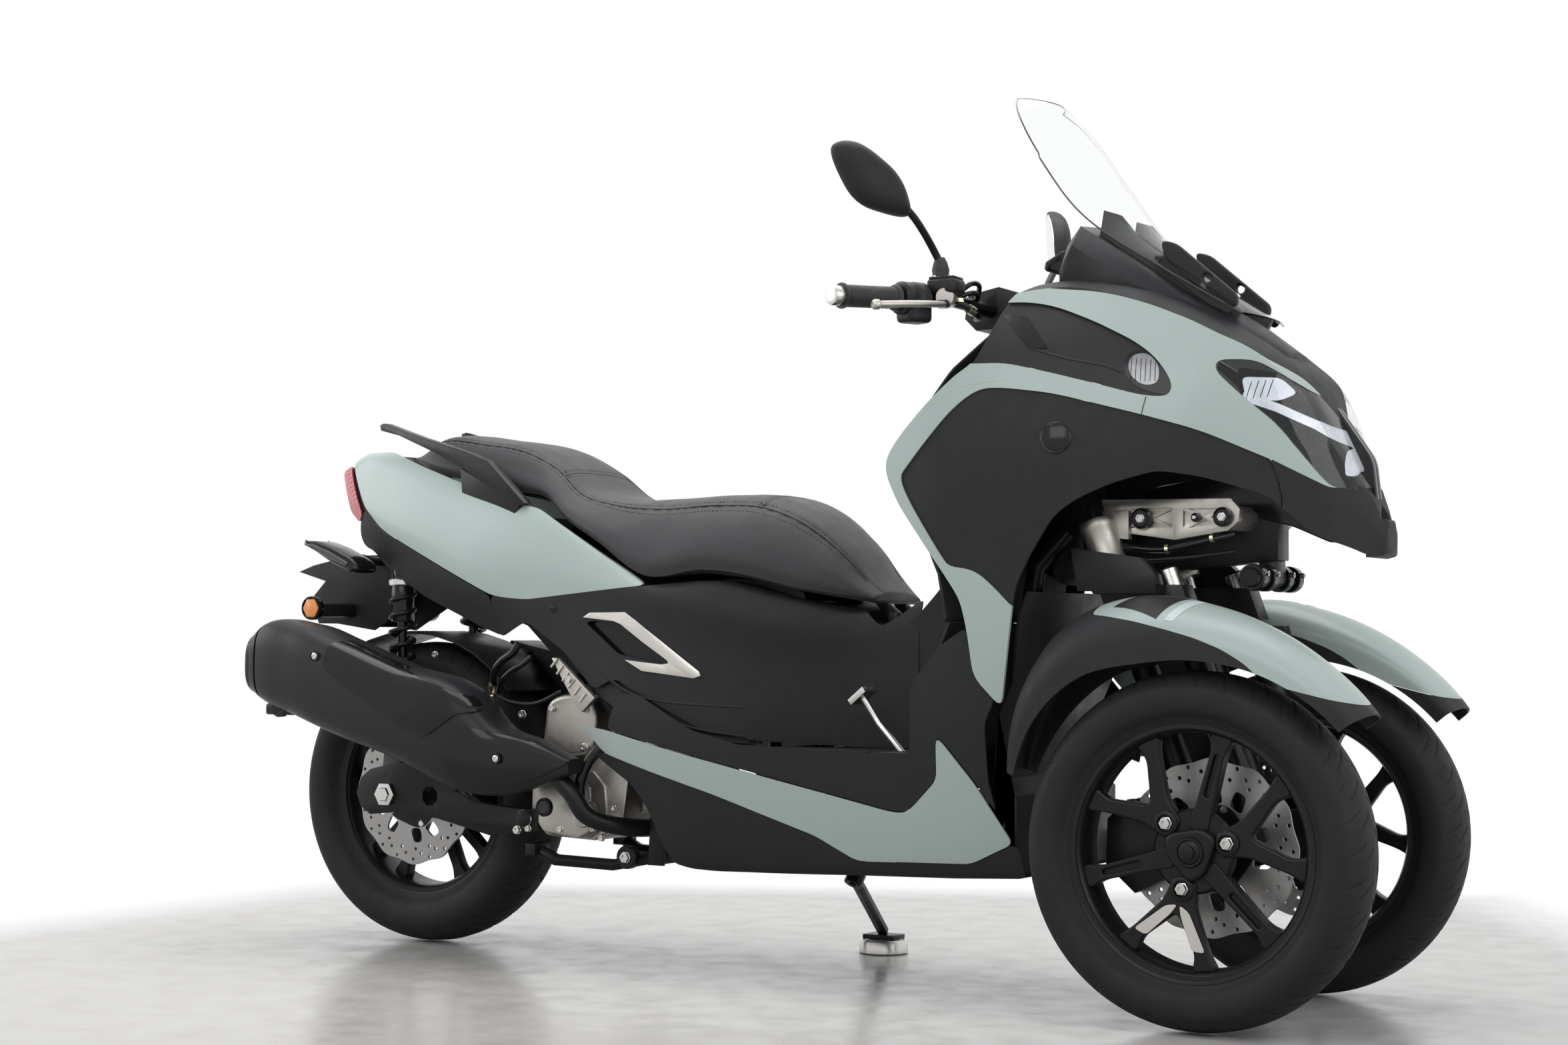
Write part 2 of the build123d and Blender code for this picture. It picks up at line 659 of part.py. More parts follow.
def exhaust():
    """Silencer with its covers, its hanger to the swingarm, and the pipe to the engine."""
    body = through_sections([clipped_section(*station) for station in MUFFLER_STATIONS])
    path = [(400, -210, 346), (480, -202, 270), (520, -150, 242), (556, -70, 238), (580, -36, 242),
            (590, -30, 263)]
    hanger = side_prism([(150, 300), (182, 286), (200, 380), (160, 380)], -170,
                        -ENGINE_Y - 22 - 2 * RUNNING_GAP)
    return body + hanger + pipe(path, 15) - engine_block()


def rear_hugger():
    """Mudguard close over the rear tyre and the air filter box on the belt case."""
    radius = REAR_TYRE_R + 16
    arc = [(r * math.cos(math.radians(a)), REAR_TYRE_R + r * math.sin(math.radians(a)))
           for r, turns in ((radius + 4, range(40, 121, 10)), (radius, range(120, 39, -10))) for a in turns]
    band = side_prism(arc, -80, 80)
    low = [(x, z + SEAT_GAP) for x, z in CASE_TOP[1:3]]
    box = side_prism(low + [(300, 450), (285, 480), (220, 530), (100, 555), (60, 500)], 92, 178)
    leg = side_prism([(60, 560), (150, 535), (150, 500), (60, 500)], 79, 93)
    return band + leg + box


def rear_fender():
    """Tail mudguard and plate holder, hung from the ends of the frame tubes."""
    outline = [(-60, 712), (-160, 712), (-252, 694), (REAR_END, 682), (-222, 664), (-258, 629), (-237, 584),
               (-191, 584), (-101, 572), (-26, 614), (-20, 700)]
    inner = [(-50, 720), (-150, 700), (-180, 660), (-200, 600), (-101, 560), (-26, 604), (0, 700)]
    hook = side_prism([(-66, 700), (-20, 700), (-20, 726), (-66, 734)], -60, -48)
    hook = hook - pipe([(30, -80, 702), (-70, -45, 737)], FRAME_TUBE_R + 1 + SEAT_GAP)
    fender = side_prism(outline, -62, 62) - side_prism(inner, -58, 58)
    return fender + hook + mirrored(hook)


def rear_signals():
    """Rear indicators on their stalks, and the round reflectors on their brackets."""
    stalk = side_prism([(-100, 690), (-64, 690), (-62, 710), (-98, 712)], -113, -62)
    lamp = side_prism([(-176, 731), (-146, 706), (-111, 690), (-60, 686), (-50, 702), (-92, 724)], -182,
                      -112)
    lens = cross_boss(-163, 609, 27, -176, -168, 16)
    bracket = side_prism([(-178, 598), (-148, 598), (-148, 620), (-178, 620)], -169, -62)
    return both(Compound([stalk + lamp, lens + bracket]))


# Floor, skirts and belly

SKIRT_AREA = [
    (476, 416), (536, 408), (716, 368), (1066, 296), (1095, 293), (1112, 301), (1162, 348), (1165, 410),
    (1173, 410),
    (1229, 343), (1286, 254), (1207, 218), (1003, 212), (932, 249), (742, 309), (523, 369),
]
BELLY_AREA = [
    (492, 366), (523, 369), (742, 309), (932, 249), (1003, 212), (1207, 218), (1286, 254), (1296, 240),
    (1296, 199), (1168, 192),
    (995, 187), (912, 184), (727, 178), (640, 180), (625, 221), (605, 279), (578, 316),
]
FENDER_SWEEP_AREA = [(1251, 346), (1310, 346), (1310, 470), (1268, 470), (1251, 440)]
FLOOR_EDGE_AREA = [
    (536, 409), (560, 470), (600, 470), (709, 413), (797, 392), (966, 386), (1117, 386), (1122, 494),
    (1173, 555),
    (1222, 585), (1240, 509), (1285, 462), (1285, 256), (1230, 344), (1174, 411), (1164, 411), (1161, 349),
    (1112, 302), (1095, 294), (1066, 297), (716, 369),
]


def lower_section(x, half_top, half_mid, half_low, top, low):
    """Section of the floor and belly at x."""
    middle = (top + low) / 2
    points = [(0, top), (half_top, top), (half_mid, middle + 30), (half_low, low + 14),
              (half_low - 16, low), (0, low)]
    return x, points


LOWER_STATIONS = [
    lower_section(470, 212, 214, 150, 500, 300),
    lower_section(600, 222, 224, 172, 520, 200),
    lower_section(800, 226, 228, 182, 560, 178),
    lower_section(1000, 228, 230, 186, 600, 184),
    lower_section(1170, 244, 240, 190, 620, 190),
    lower_section(1300, 252, 246, 196, 660, 196),
]


def lower_panels():
    """Cuts the lower body's shell into skirts, belly pan and floor sides."""
    shell = body_loft(LOWER_STATIONS) - body_loft(LOWER_STATIONS, SKIN)
    sides = shell - Pos(900, 0, 600) * Box(1200, 2 * 120, 1200)
    stand_slot = Pos(STAND_PIVOT[0], STAND_PIVOT[1] - 2, BELLY_Z) * Box(64, 44, 60)
    return {
        "skirts": sides & area_prism(SKIRT_AREA, -PANEL_GAP / 2),
        "belly_pan": (shell & area_prism(BELLY_AREA, -PANEL_GAP / 2)) - stand_slot,
        "floor_sides": (sides & area_prism(FLOOR_EDGE_AREA,
                                           -PANEL_GAP / 2)) - area_prism(FENDER_SWEEP_AREA),
    }


def foot_boards():
    """Floor on both sides of the tunnel, with the front wall of the foot well."""
    plan = [(640, -205), (640, -280), (1180, -280), (1180, -40), (1075, -40), (1075, -100), (960, -110),
            (850, -146), (760, -186), (690, -200)]
    low = FLOOR_TOP - FLOOR_T
    groove = Pos(PEDAL_GROOVE_X, 0, FLOOR_TOP) * Box(6, 600, 4)
    plate = Pos(0, 0, low) * extrude(make_face(Polyline(*plan, close=True)), amount=FLOOR_T, dir=(0, 0, 1))
    inside = body_loft(LOWER_STATIONS, SKIN + PANEL_GAP)
    wall = leg_wall() & Pos(1200, 0, SHIELD_Z - PANEL_GAP - 150) * Box(400, 800, 300)
    return (((plate + mirrored(plate)) & inside) + (wall & inside)) - groove


LEG_LINE = [
    (1250, 1040), (1195, 985), (1140, 905), (1108, 845), (1112, 800), (1150, 735), (1180, 665), (1190, 600),
    (1168, 550), (1136, 500), (1128, FLOOR_TOP - FLOOR_T),
]


SHIELD_Z = 592.0


def leg_wall():
    """Upright strip, as thick as a moulded panel, along the line of the leg shield."""
    back = [(x + LEG_WALL_T, z) for x, z in reversed(LEG_LINE)]
    return side_prism(LEG_LINE + back, -300, 300)


def leg_shield():
    """Inner shield that faces the rider's legs, with the hole for the steering stem."""
    upper = leg_wall() & Pos(1200, 0, SHIELD_Z + 300) * Box(400, 800, 600)
    hole = pipe([(steer_axis_point(900), 0, 900), (steer_axis_point(1100), 0, 1100)],
                STEM_R + 2 * MOVING_GAP)
    return (upper & front_form(SKIN + PANEL_GAP)) - hole


def inner_fender():
    """Dark panel behind the front wheels, under the cowl, hollowed where the steered fenders sweep."""
    line = [(1282, 190), (1282, 325), (1246, 350), (1250, 405), (1253, 450), (1276, 500), (1286, 600),
            (1300, 640)]
    back = [(x - 6, z) for x, z in reversed(line)]
    return side_prism(line + back, -190, 190) & body_loft(LOWER_STATIONS, SKIN + SEAT_GAP)


HOOD_REAR = 1322.0


def screen_hood():
    """Dark hood between the instruments and the windscreen, with the two rails that carry the screen."""
    stations = [
        (HOOD_REAR, [(0, 1196), (96, 1186), (128, 1140), (128, 1080), (0, 1080)]),
        (1345, [(0, 1224), (98, 1214), (132, 1180), (134, 1080), (0, 1080)]),
        (1400, [(0, 1186), (98, 1178), (130, 1140), (134, 1070), (0, 1070)]),
        (1500, [(0, 1118), (88, 1110), (118, 1086), (122, 1040), (0, 1040)]),
        (1600, [(0, 1058), (66, 1050), (88, 1034), (92, 1000), (0, 1000)]),
        (1665, [(0, 1008), (40, 1004), (56, 996), (60, 970), (0, 970)]),
    ]
    rail = side_prism([(1360, 1160), (1372, 1240), (1424, 1222), (1540, 1120), (1600, 1070),
                       (1580, 1030)], 60, 72)
    hood = body_loft(stations) + rail + mirrored(rail)
    return hood - screen_sheet(200, SEAT_GAP) - front_form(-SEAT_GAP)


WINDSCREEN_T = 3.0
# height, x of the middle, half width, how far the edge lies behind the middle
SCREEN_STATIONS = [
    (1062, 1622, 92, 14), (1125, 1532, 132, 22), (1205, 1426, 172, 30), (1300, 1354, 182, 34),
    (1380, 1300, 168, 30),
    (1431, 1262, 140, 24),
]
SCREEN_OUTLINE = [(200, 1000), (200, 1320), (172, 1375), (130, 1412), (70, 1431)]


def screen_sheet(ahead, behind):
    """The screen's curved sheet, made thicker by `ahead` in front and by `behind` at the back."""
    sections = []
    for z, x, half, sag in SCREEN_STATIONS:
        across = [(share * half, x - sag * share ** 2) for share in (-1, -0.66, -0.33, 0, 0.33, 0.66, 1)]
        front = [(depth + ahead, y, z) for y, depth in across]
        back = [(depth - WINDSCREEN_T - behind, y, z) for y, depth in reversed(across)]
        sections.append(front + back)
    return through_sections(sections)


def windscreen():
    """Clear screen, curved across and raked back."""
    edge = SCREEN_OUTLINE + [(-y, z) for y, z in reversed(SCREEN_OUTLINE)]
    return screen_sheet(0, 0) & extrude(Plane.YZ.offset(1000) * make_face(Polyline(*edge, close=True)),
                                        amount=900)


def dash():
    """Instrument pod above the handlebar, under the hood."""
    face = HOOD_REAR - SEAT_GAP
    return side_prism([(1270, 1152), (1272, 1166), (1300, 1180), (face, 1186), (face, 1138),
                       (1300, 1142)], -76, 76)


# Steering and front suspension

def steer_axis_point(z):
    """x of the handlebar's steering axis at height z."""
    return STEM_X - (z - STEM_Z) * math.tan(math.radians(CASTER))


BAR_R = 11.0
BAR_PATH = [(1072, -380, 1088), (1118, -272, 1094), (1150, -180, 1102), (1200, -60, 1086), (1200, 60, 1086),
            (1150, 180, 1102), (1118, 272, 1094), (1072, 380, 1088)]
GRIP_START = (1115.0, -279.0, 1093.6)
BAR_END = (1066.0, -394.0, 1087.2)


def handlebar_bar():
    """Handlebar tube and its steering stem."""
    stem = round_bar((steer_axis_point(STEM_LOW + 6), 0, STEM_LOW + 6), (steer_axis_point(1090), 0, 1090),
                     STEM_R)
    return pipe(BAR_PATH, BAR_R) + stem


def bar_room():
    """The space of the handlebar tube with its running gap."""
    return pipe(BAR_PATH, BAR_R + RUNNING_GAP)


def grips():
    """Rubber grips with bar-end weights."""
    grip = pipe([GRIP_START, BAR_PATH[0]], 17, 10)
    weight = pipe([BAR_PATH[0], BAR_END], 15, 6)
    return both(grip + weight - bar_room())


def bar_controls():
    """Switch boxes, master cylinders and levers."""
    box = Pos(1128, -243, 1082) * Rot(0, 0, 66) * Box(58, 46, 62)
    reservoir = Pos(1165, -205, 1118) * Box(52, 44, 30)
    lever = pipe([(1160, -232, 1080), (1172, -262, 1078), (1130, -372, 1072)], 6, 6)
    return both(box + reservoir + lever - bar_room())


def bar_cover():
    """Cover over the middle of the handlebar."""
    cover = side_prism([(1140, 1080), (1146, 1118), (1200, 1128), (1248, 1112), (1240, 1062),
                        (1160, 1060)], -92, 92)
    stem = round_bar((steer_axis_point(900), 0, 900), (steer_axis_point(1096), 0, 1096),
                     STEM_R + RUNNING_GAP)
    return cover - bar_room() - stem


MIRROR_Y = 338.0


def mirrors():
    """Pair of mirrors with domed backs on cranked stems."""
    outline = [(1028, 1322), (1034, 1292), (1073, 1230), (1155, 1215), (1172, 1223), (1148, 1281),
               (1072, 1330)]
    middle = (1100, 1272)
    sections = []
    for y, scale in ((-22, 0.6), (-12, 0.92), (2, 1.0), (12, 0.97)):
        sections.append([(scale * (x - middle[0]), y, middle[1] + scale * (z - middle[1])) for x,
                         z in outline])
    head = Pos(1105, -MIRROR_Y, 0) * Rot(0, 0, 58) * through_sections(sections)
    stem = pipe([(1152, -200, 1133 + SEAT_GAP), (1152, -200, 1150), (1146, -206, 1166),
                 (1138, -276, 1224), (1128, -304, 1240)], 6, 6)
    return both(head + stem)


ARM_Y = 112.0
ARM_T = 14.0
BEAM_HALF = 24.0
KNUCKLE_R = 25.0
KNUCKLE_LOW = 668.0
KNUCKLE_TOP = 748.0


def kingpin_point(z):
    """Point of the right wheel's steering axis at height z."""
    return (WHEELBASE + TRAIL - z * math.tan(math.radians(CASTER)), -KINGPIN_Y, z)


def tilt_arms():
    """Leaning arms with X-ribbed side castings, and the knuckle tubes that hold the kingpins."""
    plate = [(1390, 782), (1600, 780), (1614, 764), (1612, 746), (1596, 732), (1510, 719), (1412, 733),
             (1396, 760)]
    window_back = [(1430, 768), (1506, 768), (1506, 738), (1430, 738)]
    window_front = [(1524, 766), (1590, 766), (1586, 742), (1524, 736)]
    inner, outer = -ARM_Y + ARM_T / 2, -ARM_Y - ARM_T / 2
    side = side_prism(plate, outer, inner)
    for window in (window_back, window_front):
        side = side - side_prism(window, outer - 1, outer + 6)
        for start, end in ((window[0], window[2]), (window[1], window[3])):
            side = side + pipe([(start[0], outer + 4, start[1]), (end[0], outer + 4, end[1])], 4, 4)
    for x in (1454, 1590):
        side = side + cross_boss(x, 752, 20, inner - 1, -BEAM_HALF)
    side = side + side_prism([(1400, 724), (1440, 720), (1440, 764), (1396, 764)], outer - 12, outer + 1)
    lower = pipe([(1318, -61, 684), (1400, -KINGPIN_Y + 14, 690)], 12, 6)
    knuckle = pipe([kingpin_point(KNUCKLE_LOW), kingpin_point(KNUCKLE_TOP)], KNUCKLE_R, 12)
    bore = round_bar(kingpin_point(KNUCKLE_LOW - 30), kingpin_point(KNUCKLE_TOP + 30),
                     KINGPIN_R + RUNNING_GAP)
    return both(side + (lower - head_block()) + knuckle - bore)


def tilt_lock():
    """Cross tube of the leaning lock under the front of the beam."""
    tube = cross_boss(1622, 662, 14, -95, 95)
    collars = [cross_boss(1622, 662, 19, y - 9, y + 9) for y in (-80, -34, 34, 80)]
    hanger = side_prism([(1606, 664), (1638, 664), (1636, 689.6), (1608, 687.1)], -20, 20)
    return tube + collars + hanger


def fork():
    """Right-hand fork inside its wheel: kingpin, clamp, two legs, stays, axle and brake caliper."""
    y = -KINGPIN_Y
    lean = math.tan(math.radians(CASTER))

    def leg_point(ahead, z):
        x, _, _ = kingpin_point(z)
        return (x + ahead, y, z)

    whole = round_bar(kingpin_point(FORK_CLAMP[0]), kingpin_point(KNUCKLE_TOP + 4), KINGPIN_R)
    for ahead in (0, LEG_SPACING):
        whole = whole + pipe([leg_point(ahead, 674 if ahead else FORK_CLAMP[1]), leg_point(ahead, 570)],
                             16, TUBE_SIDES)
        whole = whole + pipe([leg_point(ahead, 590), leg_point(ahead, FRONT_TYRE_R - 22)], SLIDER_R,
                             TUBE_SIDES)
    low, high = FORK_CLAMP
    rear = kingpin_point(low)[0] - 24
    clamp = side_prism([(rear, low), (rear + LEG_SPACING + 48, low), (rear + LEG_SPACING + 48 - 50 * lean,
            high),
                        (rear - 50 * lean, high)], y - 22, y + 22)
    shield = side_prism([(1386, 640), (1449, 640), (1516, 650), (1512, 664), (1485, 690), (1375, 705)],
                        -200, -176)
    shield_foot = side_prism([(1412, high - 14), (1510, high - 14), (1510, high), (1400, high)], -200,
                             y - 21)
    stay = side_prism([(1500, 560), (1600, 560), (1590, 590), (1505, 590)], -FENDER_IN_Y + SEAT_GAP, y)
    bridge = side_prism([(1492, 236), (1640, 236), (1668, 262), (1640, 300), (1492, 304)], -162, y + 16)
    axle = cross_cylinder(WHEELBASE, FRONT_TYRE_R, AXLE_R - RUNNING_GAP, -TRACK / 2 - 48, y)
    caliper = side_prism([(1440, 232), (1486, 192), (1530, 215), (1522, 300), (1474, 330), (1442, 300)],
                         -DISC_Y - 34, -DISC_Y + 22)
    slot = cross_boss(WHEELBASE, FRONT_TYRE_R, DISC_R + MOVING_GAP, -DISC_Y - DISC_ROOM,
                      DISC_ROOM - DISC_Y, 30)
    return whole + clamp + shield + shield_foot + stay + bridge + axle + (caliper - slot)


# polar angle, radius of the crown, radius of the lower edge, inner y and outer y
FENDER_STATIONS = [
    (38, 330, 292, 172, 300), (60, 336, 284, 168, 304), (85, 356, 277, 168, 306), (105, 382, 280, 168, 306),
    (122, 388, 296, 168, 306), (140, 362, 300, 176, 300), (160, 318, 294, 200, 284),
]


def fender_section(angle, crown, edge, y_in, y_out, inset=0.0):
    """Section of the fender across its wheel at a polar angle about the axle, moved in by inset."""
    a = math.radians(angle)
    drop = crown - edge
    middle = (y_in + y_out) / 2
    across = [
        (y_in + inset, edge - inset * 2),
        (y_in + inset, crown - drop * 0.36 - inset),
        (middle - 0.27 * (y_out - y_in), crown - drop * 0.08 - inset),
        (middle, crown - inset),
        (middle + 0.25 * (y_out - y_in), crown - drop * 0.16 - inset),
        (y_out - 6 - inset, crown - drop * 0.5 - inset),
        (y_out - inset, edge - inset * 2),
    ]
    return [(WHEELBASE + r * math.cos(a), -y, FRONT_TYRE_R + r * math.sin(a)) for y, r in across]


def fender():
    """Whole front fender of the right-hand wheel: a shell, open below and at both ends."""
    outer = through_sections([fender_section(*station) for station in FENDER_STATIONS])
    first, last = FENDER_STATIONS[0], FENDER_STATIONS[-1]
    ends = [(first[0] - 2, *first[1:]), *FENDER_STATIONS[1:-1], (last[0] + 2, *last[1:])]
    return outer - through_sections([fender_section(*station, inset=SKIN) for station in ends])


# Stands, pegs and pedal

STAND_PIVOT = (830.0, 112.0, 150.0)
STAND_FOOT = (785.0, 296.0, 40.0)
STAND_TUCKED = (615.0, 162.0, 158.0)
PUCK_R = 44.0
PUCK_H = 25.0


def stand_axis():
    """Direction of the side stand's hinge, square to the leg both when down and when folded."""
    pivot = Vector(*STAND_PIVOT)
    return (Vector(*STAND_FOOT) - pivot).cross(Vector(*STAND_TUCKED) - pivot).normalized()


def along_stand_axis(distance):
    """Point of the side stand's hinge line."""
    return tuple(Vector(*STAND_PIVOT) + stand_axis() * distance)


STAND_EYE_HALF = 11.5


def side_stand():
    """Side stand, down, with its foot on the round plate."""
    eye = pipe([along_stand_axis(-STAND_EYE_HALF), along_stand_axis(STAND_EYE_HALF)], 16, 10)
    leg = pipe([STAND_PIVOT, STAND_FOOT], 11)
    foot = Pos(STAND_FOOT[0], STAND_FOOT[1] + 4, PUCK_H + SEAT_GAP + 4) * Box(62, 44, 8)
    neck = pipe([STAND_FOOT, (STAND_FOOT[0], STAND_FOOT[1] + 3, PUCK_H + 6)], 9, 6)
    room = round_bar(along_stand_axis(-STAND_EYE_HALF - 1), along_stand_axis(STAND_EYE_HALF + 1),
                     6 + RUNNING_GAP)
    return eye + leg + foot + neck - room


def stand_plate():
    """Round steel plate under the side stand's foot."""
    plate = Plane.XY * make_face(Polyline(*ring_points(PUCK_R, 24), close=True))
    return Pos(STAND_FOOT[0], STAND_FOOT[1] + 4, 0) * extrude(plate, amount=PUCK_H, dir=(0, 0, 1))


def side_stand_mount():
    """Bolt, washer and strut that carry the side stand under the left frame tube."""
    bolt = round_bar(along_stand_axis(-STAND_EYE_HALF - 3), along_stand_axis(STAND_EYE_HALF + 3), 6)
    washer = pipe([along_stand_axis(STAND_EYE_HALF + RUNNING_GAP), along_stand_axis(STAND_EYE_HALF + 12)],
                  15, 10)
    strut = pipe([along_stand_axis(STAND_EYE_HALF + 10), (STAND_PIVOT[0], 92, 232)], 10, 6)
    return bolt + washer + strut


CENTRE_STAND_PIVOT = (570.0, 190.0)
CENTRE_STAND_HALF = 112.0


def centre_stand():
    """Centre stand, folded up under the engine."""
    x, z = CENTRE_STAND_PIVOT
    half = CENTRE_STAND_HALF
    leg = pipe([(x, 16 - half, z), (480, -half, 172), (370, -half - 16, 176), (338, -half - 20, 190)], 11,
               6)
    sole = Pos(334, -half - 22, 194) * Box(20, 46, 20)
    barrel = cross_boss(x, z, 14, -half, half) - cross_cylinder(x, z, 6 + RUNNING_GAP, -half - 1, half + 1)
    cross = cross_boss(468, 171, 9, -half, half)
    return barrel + cross + (leg + sole - cross_cylinder(x, z, 7, -half - 1, half + 1)) + mirrored(
        leg + sole - cross_cylinder(x, z, 7, -half - 1, half + 1))


def centre_stand_lugs():
    """Lugs on the frame tubes, with the pivot rod of the centre stand between them."""
    x, z = CENTRE_STAND_PIVOT
    inner = -CENTRE_STAND_HALF - RUNNING_GAP
    lug = side_prism([(x - 15, z - 14), (x + 15, z - 14), (x + 22, 316), (x - 8, 326)], inner - 7, inner)
    rod = cross_cylinder(x, z, 6, inner - 6, -inner + 6)
    return lug + mirrored(lug) + rod


def foot_pegs():
    """Folded passenger pegs on the ends of their frame bosses."""
    outline = [(416, 528), (430, 528), (508, 461), (481, 436), (466, 450)]
    return both(side_prism(outline, -PEG_Y - 12, -PEG_Y - RUNNING_GAP))


def brake_pedal():
    """Foot brake pedal on the right of the floor."""
    arm = pipe([(1075, -170, FLOOR_Z - 8), (1030, -172, 430), (1004, -176, 470)], 6, 6)
    pad = Pos(1002, -176, 474) * Rot(0, 50, 0) * Box(10, 40, 34)
    under_floor = Pos(1060, -170, FLOOR_Z - 50) * Box(120, 80, 2 * (50 - FLOOR_DROP + SEAT_GAP))
    return arm + pad - under_floor


VENT_AREA = [
    (476, 597), (490, 605), (560, 606), (584, 591), (703, 508), (706, 501), (693, 497), (600, 508),
    (565, 526),
    (634, 519), (647, 521), (644, 526), (552, 586), (538, 591),
]


def vent_trims():
    """Silver frames that stand proud of the side covers."""
    frame = side_prism(VENT_AREA, -230, -150)
    return both((frame & rear_form(-4)) - rear_form(-RUNNING_GAP))


def collect():
    """Every node of the vehicle, by name."""
    nodes = {}
    nodes.update(front_panels())
    nodes.update(rear_panels())
    nodes.update(lower_panels())
    nodes["seat_cushion"] = seat_cushion()
    nodes["seat_base"] = seat_base()
    nodes["storage_tub"] = storage_tub()
    nodes["grab_rails"] = grab_rails()
    nodes["frame"] = frame_tubes()
    nodes["engine_block"] = engine_block()
    nodes["transmission_case"] = transmission_case()
    nodes["swingarm"] = swingarm()
    nodes["rear_shocks"] = both(rear_shock())
    nodes["exhaust"] = exhaust()
    nodes["rear_hugger"] = rear_hugger()
    nodes["rear_fender"] = rear_fender()
    nodes["rear_signals"] = rear_signals()
    nodes["foot_boards"] = foot_boards()
    nodes["leg_shield"] = leg_shield()
    nodes["inner_fender"] = inner_fender()
    nodes["screen_hood"] = screen_hood()
    nodes["windscreen"] = windscreen()
    nodes["dash"] = dash()
    nodes["handlebar"] = handlebar_bar()
    nodes["grips"] = grips()
    nodes["bar_controls"] = bar_controls()
    nodes["bar_cover"] = bar_cover()
    nodes["mirrors"] = mirrors()
    nodes["tilt_arms"] = tilt_arms()
    nodes["tilt_lock"] = tilt_lock()
    nodes["side_stand"] = side_stand()
    nodes["stand_plate"] = stand_plate()
    nodes["centre_stand"] = centre_stand()
    nodes["foot_pegs"] = foot_pegs()
    nodes["brake_pedal"] = brake_pedal()
    nodes["vent_trims"] = vent_trims()
    fork_right = fork()
    fender_right = fender()
    trim = area_prism(FENDER_TRIM_AREA)
    right_trim = fender_right & trim
    right_fender = fender_right - area_prism(FENDER_TRIM_AREA, PANEL_GAP)
    nodes["fork_right"] = fork_right
    nodes["fork_left"] = mirrored(fork_right)
    nodes["fender_right"] = right_fender
    nodes["fender_left"] = mirrored(right_fender)
    nodes["fender_trim_right"] = right_trim
    nodes["fender_trim_left"] = mirrored(right_trim)
    wheel_parts = {
        "tyre": tyre(FRONT_TYRE_R, FRONT_TYRE_W, FRONT_RIM_W),
        "rim": front_rim(),
        "disc": brake_disc(TRACK / 2 - DISC_Y - DISC_T / 2),
    }
    for name, shape in wheel_parts.items():
        placed = Pos(WHEELBASE, -TRACK / 2, FRONT_TYRE_R) * shape
        nodes[name + "_front_right"] = placed
        nodes[name + "_front_left"] = mirrored(placed)
    rear = Pos(0, 0, REAR_TYRE_R)
    nodes["tyre_rear"] = rear * tyre(REAR_TYRE_R, REAR_TYRE_W, REAR_RIM_W)
    nodes["rim_rear"] = rear * rear_rim()
    nodes["disc_rear"] = rear * brake_disc(REAR_DISC_Y)
    return nodes


FENDER_TRIM_AREA = [
    (1436, 604), (1500, 700), (1700, 680), (1900, 520), (1880, 440), (1862, 474), (1828, 482),
    (1776, 494), (1720, 508),
    (1687, 536), (1654, 555), (1612, 571), (1570, 582), (1518, 594), (1464, 602),
]


def main():
    os.makedirs("parts", exist_ok=True)
    shift = Pos(-ORIGIN_X, 0, 0)
    for name, shape in collect().items():
        export_step(shift * shape, f"parts/{name}.step")


if __name__ == "__main__":
    main()
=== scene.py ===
import json
import math
import random

import bmesh
import bpy
import numpy as np
from mathutils import Matrix, Vector
from mathutils import noise as vector_noise


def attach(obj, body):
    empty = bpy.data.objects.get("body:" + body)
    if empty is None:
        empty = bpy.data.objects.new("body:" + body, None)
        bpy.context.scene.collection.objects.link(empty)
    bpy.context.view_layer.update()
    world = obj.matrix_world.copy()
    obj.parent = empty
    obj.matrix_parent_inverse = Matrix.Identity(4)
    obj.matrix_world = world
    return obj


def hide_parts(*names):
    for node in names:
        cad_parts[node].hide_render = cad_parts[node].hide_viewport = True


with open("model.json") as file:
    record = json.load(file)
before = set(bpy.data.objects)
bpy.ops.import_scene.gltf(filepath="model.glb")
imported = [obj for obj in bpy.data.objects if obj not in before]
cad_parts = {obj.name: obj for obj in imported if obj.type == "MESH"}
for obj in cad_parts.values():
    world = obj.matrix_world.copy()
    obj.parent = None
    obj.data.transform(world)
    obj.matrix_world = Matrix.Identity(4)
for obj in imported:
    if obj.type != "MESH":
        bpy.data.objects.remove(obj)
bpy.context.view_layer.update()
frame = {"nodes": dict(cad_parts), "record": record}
random.seed(7)
SLOTS = {s["node"]: s["material_slot"] for s in frame["record"]["subparts"]}

# Lengths below are millimetres: x forward from the rear axle, y to the rider's left, z up from the ground.
ORIGIN_X = 784.4
WHEELBASE = 1595.0
TRACK = 470.0
FRONT_R = 261.8
REAR_R = 275.8
CASTER = 20.0
TRAIL = 68.0
KINGPIN_Y = 142.0
LEG_SPACING = 89.0
SLIDER_R = 20.0
SKIN = 3.5
GAP = 0.8


def row(x, y, z):
    """Point of the shared frame, in metres."""
    return Vector(((x - ORIGIN_X) / 1000, y / 1000, z / 1000))


# Materials

def node_tree(name):
    mat = bpy.data.materials.new(name)
    mat.use_nodes = True
    tree = mat.node_tree
    tree.nodes.clear()
    out = tree.nodes.new("ShaderNodeOutputMaterial")
    shader = tree.nodes.new("ShaderNodeBsdfPrincipled")
    tree.links.new(shader.outputs[0], out.inputs[0])
    return mat, tree, shader


def noise(tree, scale, detail=3.0, stretch=(1, 1, 1), kind="ShaderNodeTexNoise"):
    coord = tree.nodes.new("ShaderNodeTexCoord")
    place = tree.nodes.new("ShaderNodeMapping")
    place.inputs["Scale"].default_value = stretch
    tex = tree.nodes.new(kind)
    tex.inputs["Scale"].default_value = scale
    if "Detail" in tex.inputs:
        tex.inputs["Detail"].default_value = detail
    tree.links.new(coord.outputs["Object"], place.inputs[0])
    tree.links.new(place.outputs[0], tex.inputs["Vector"])
    return tex


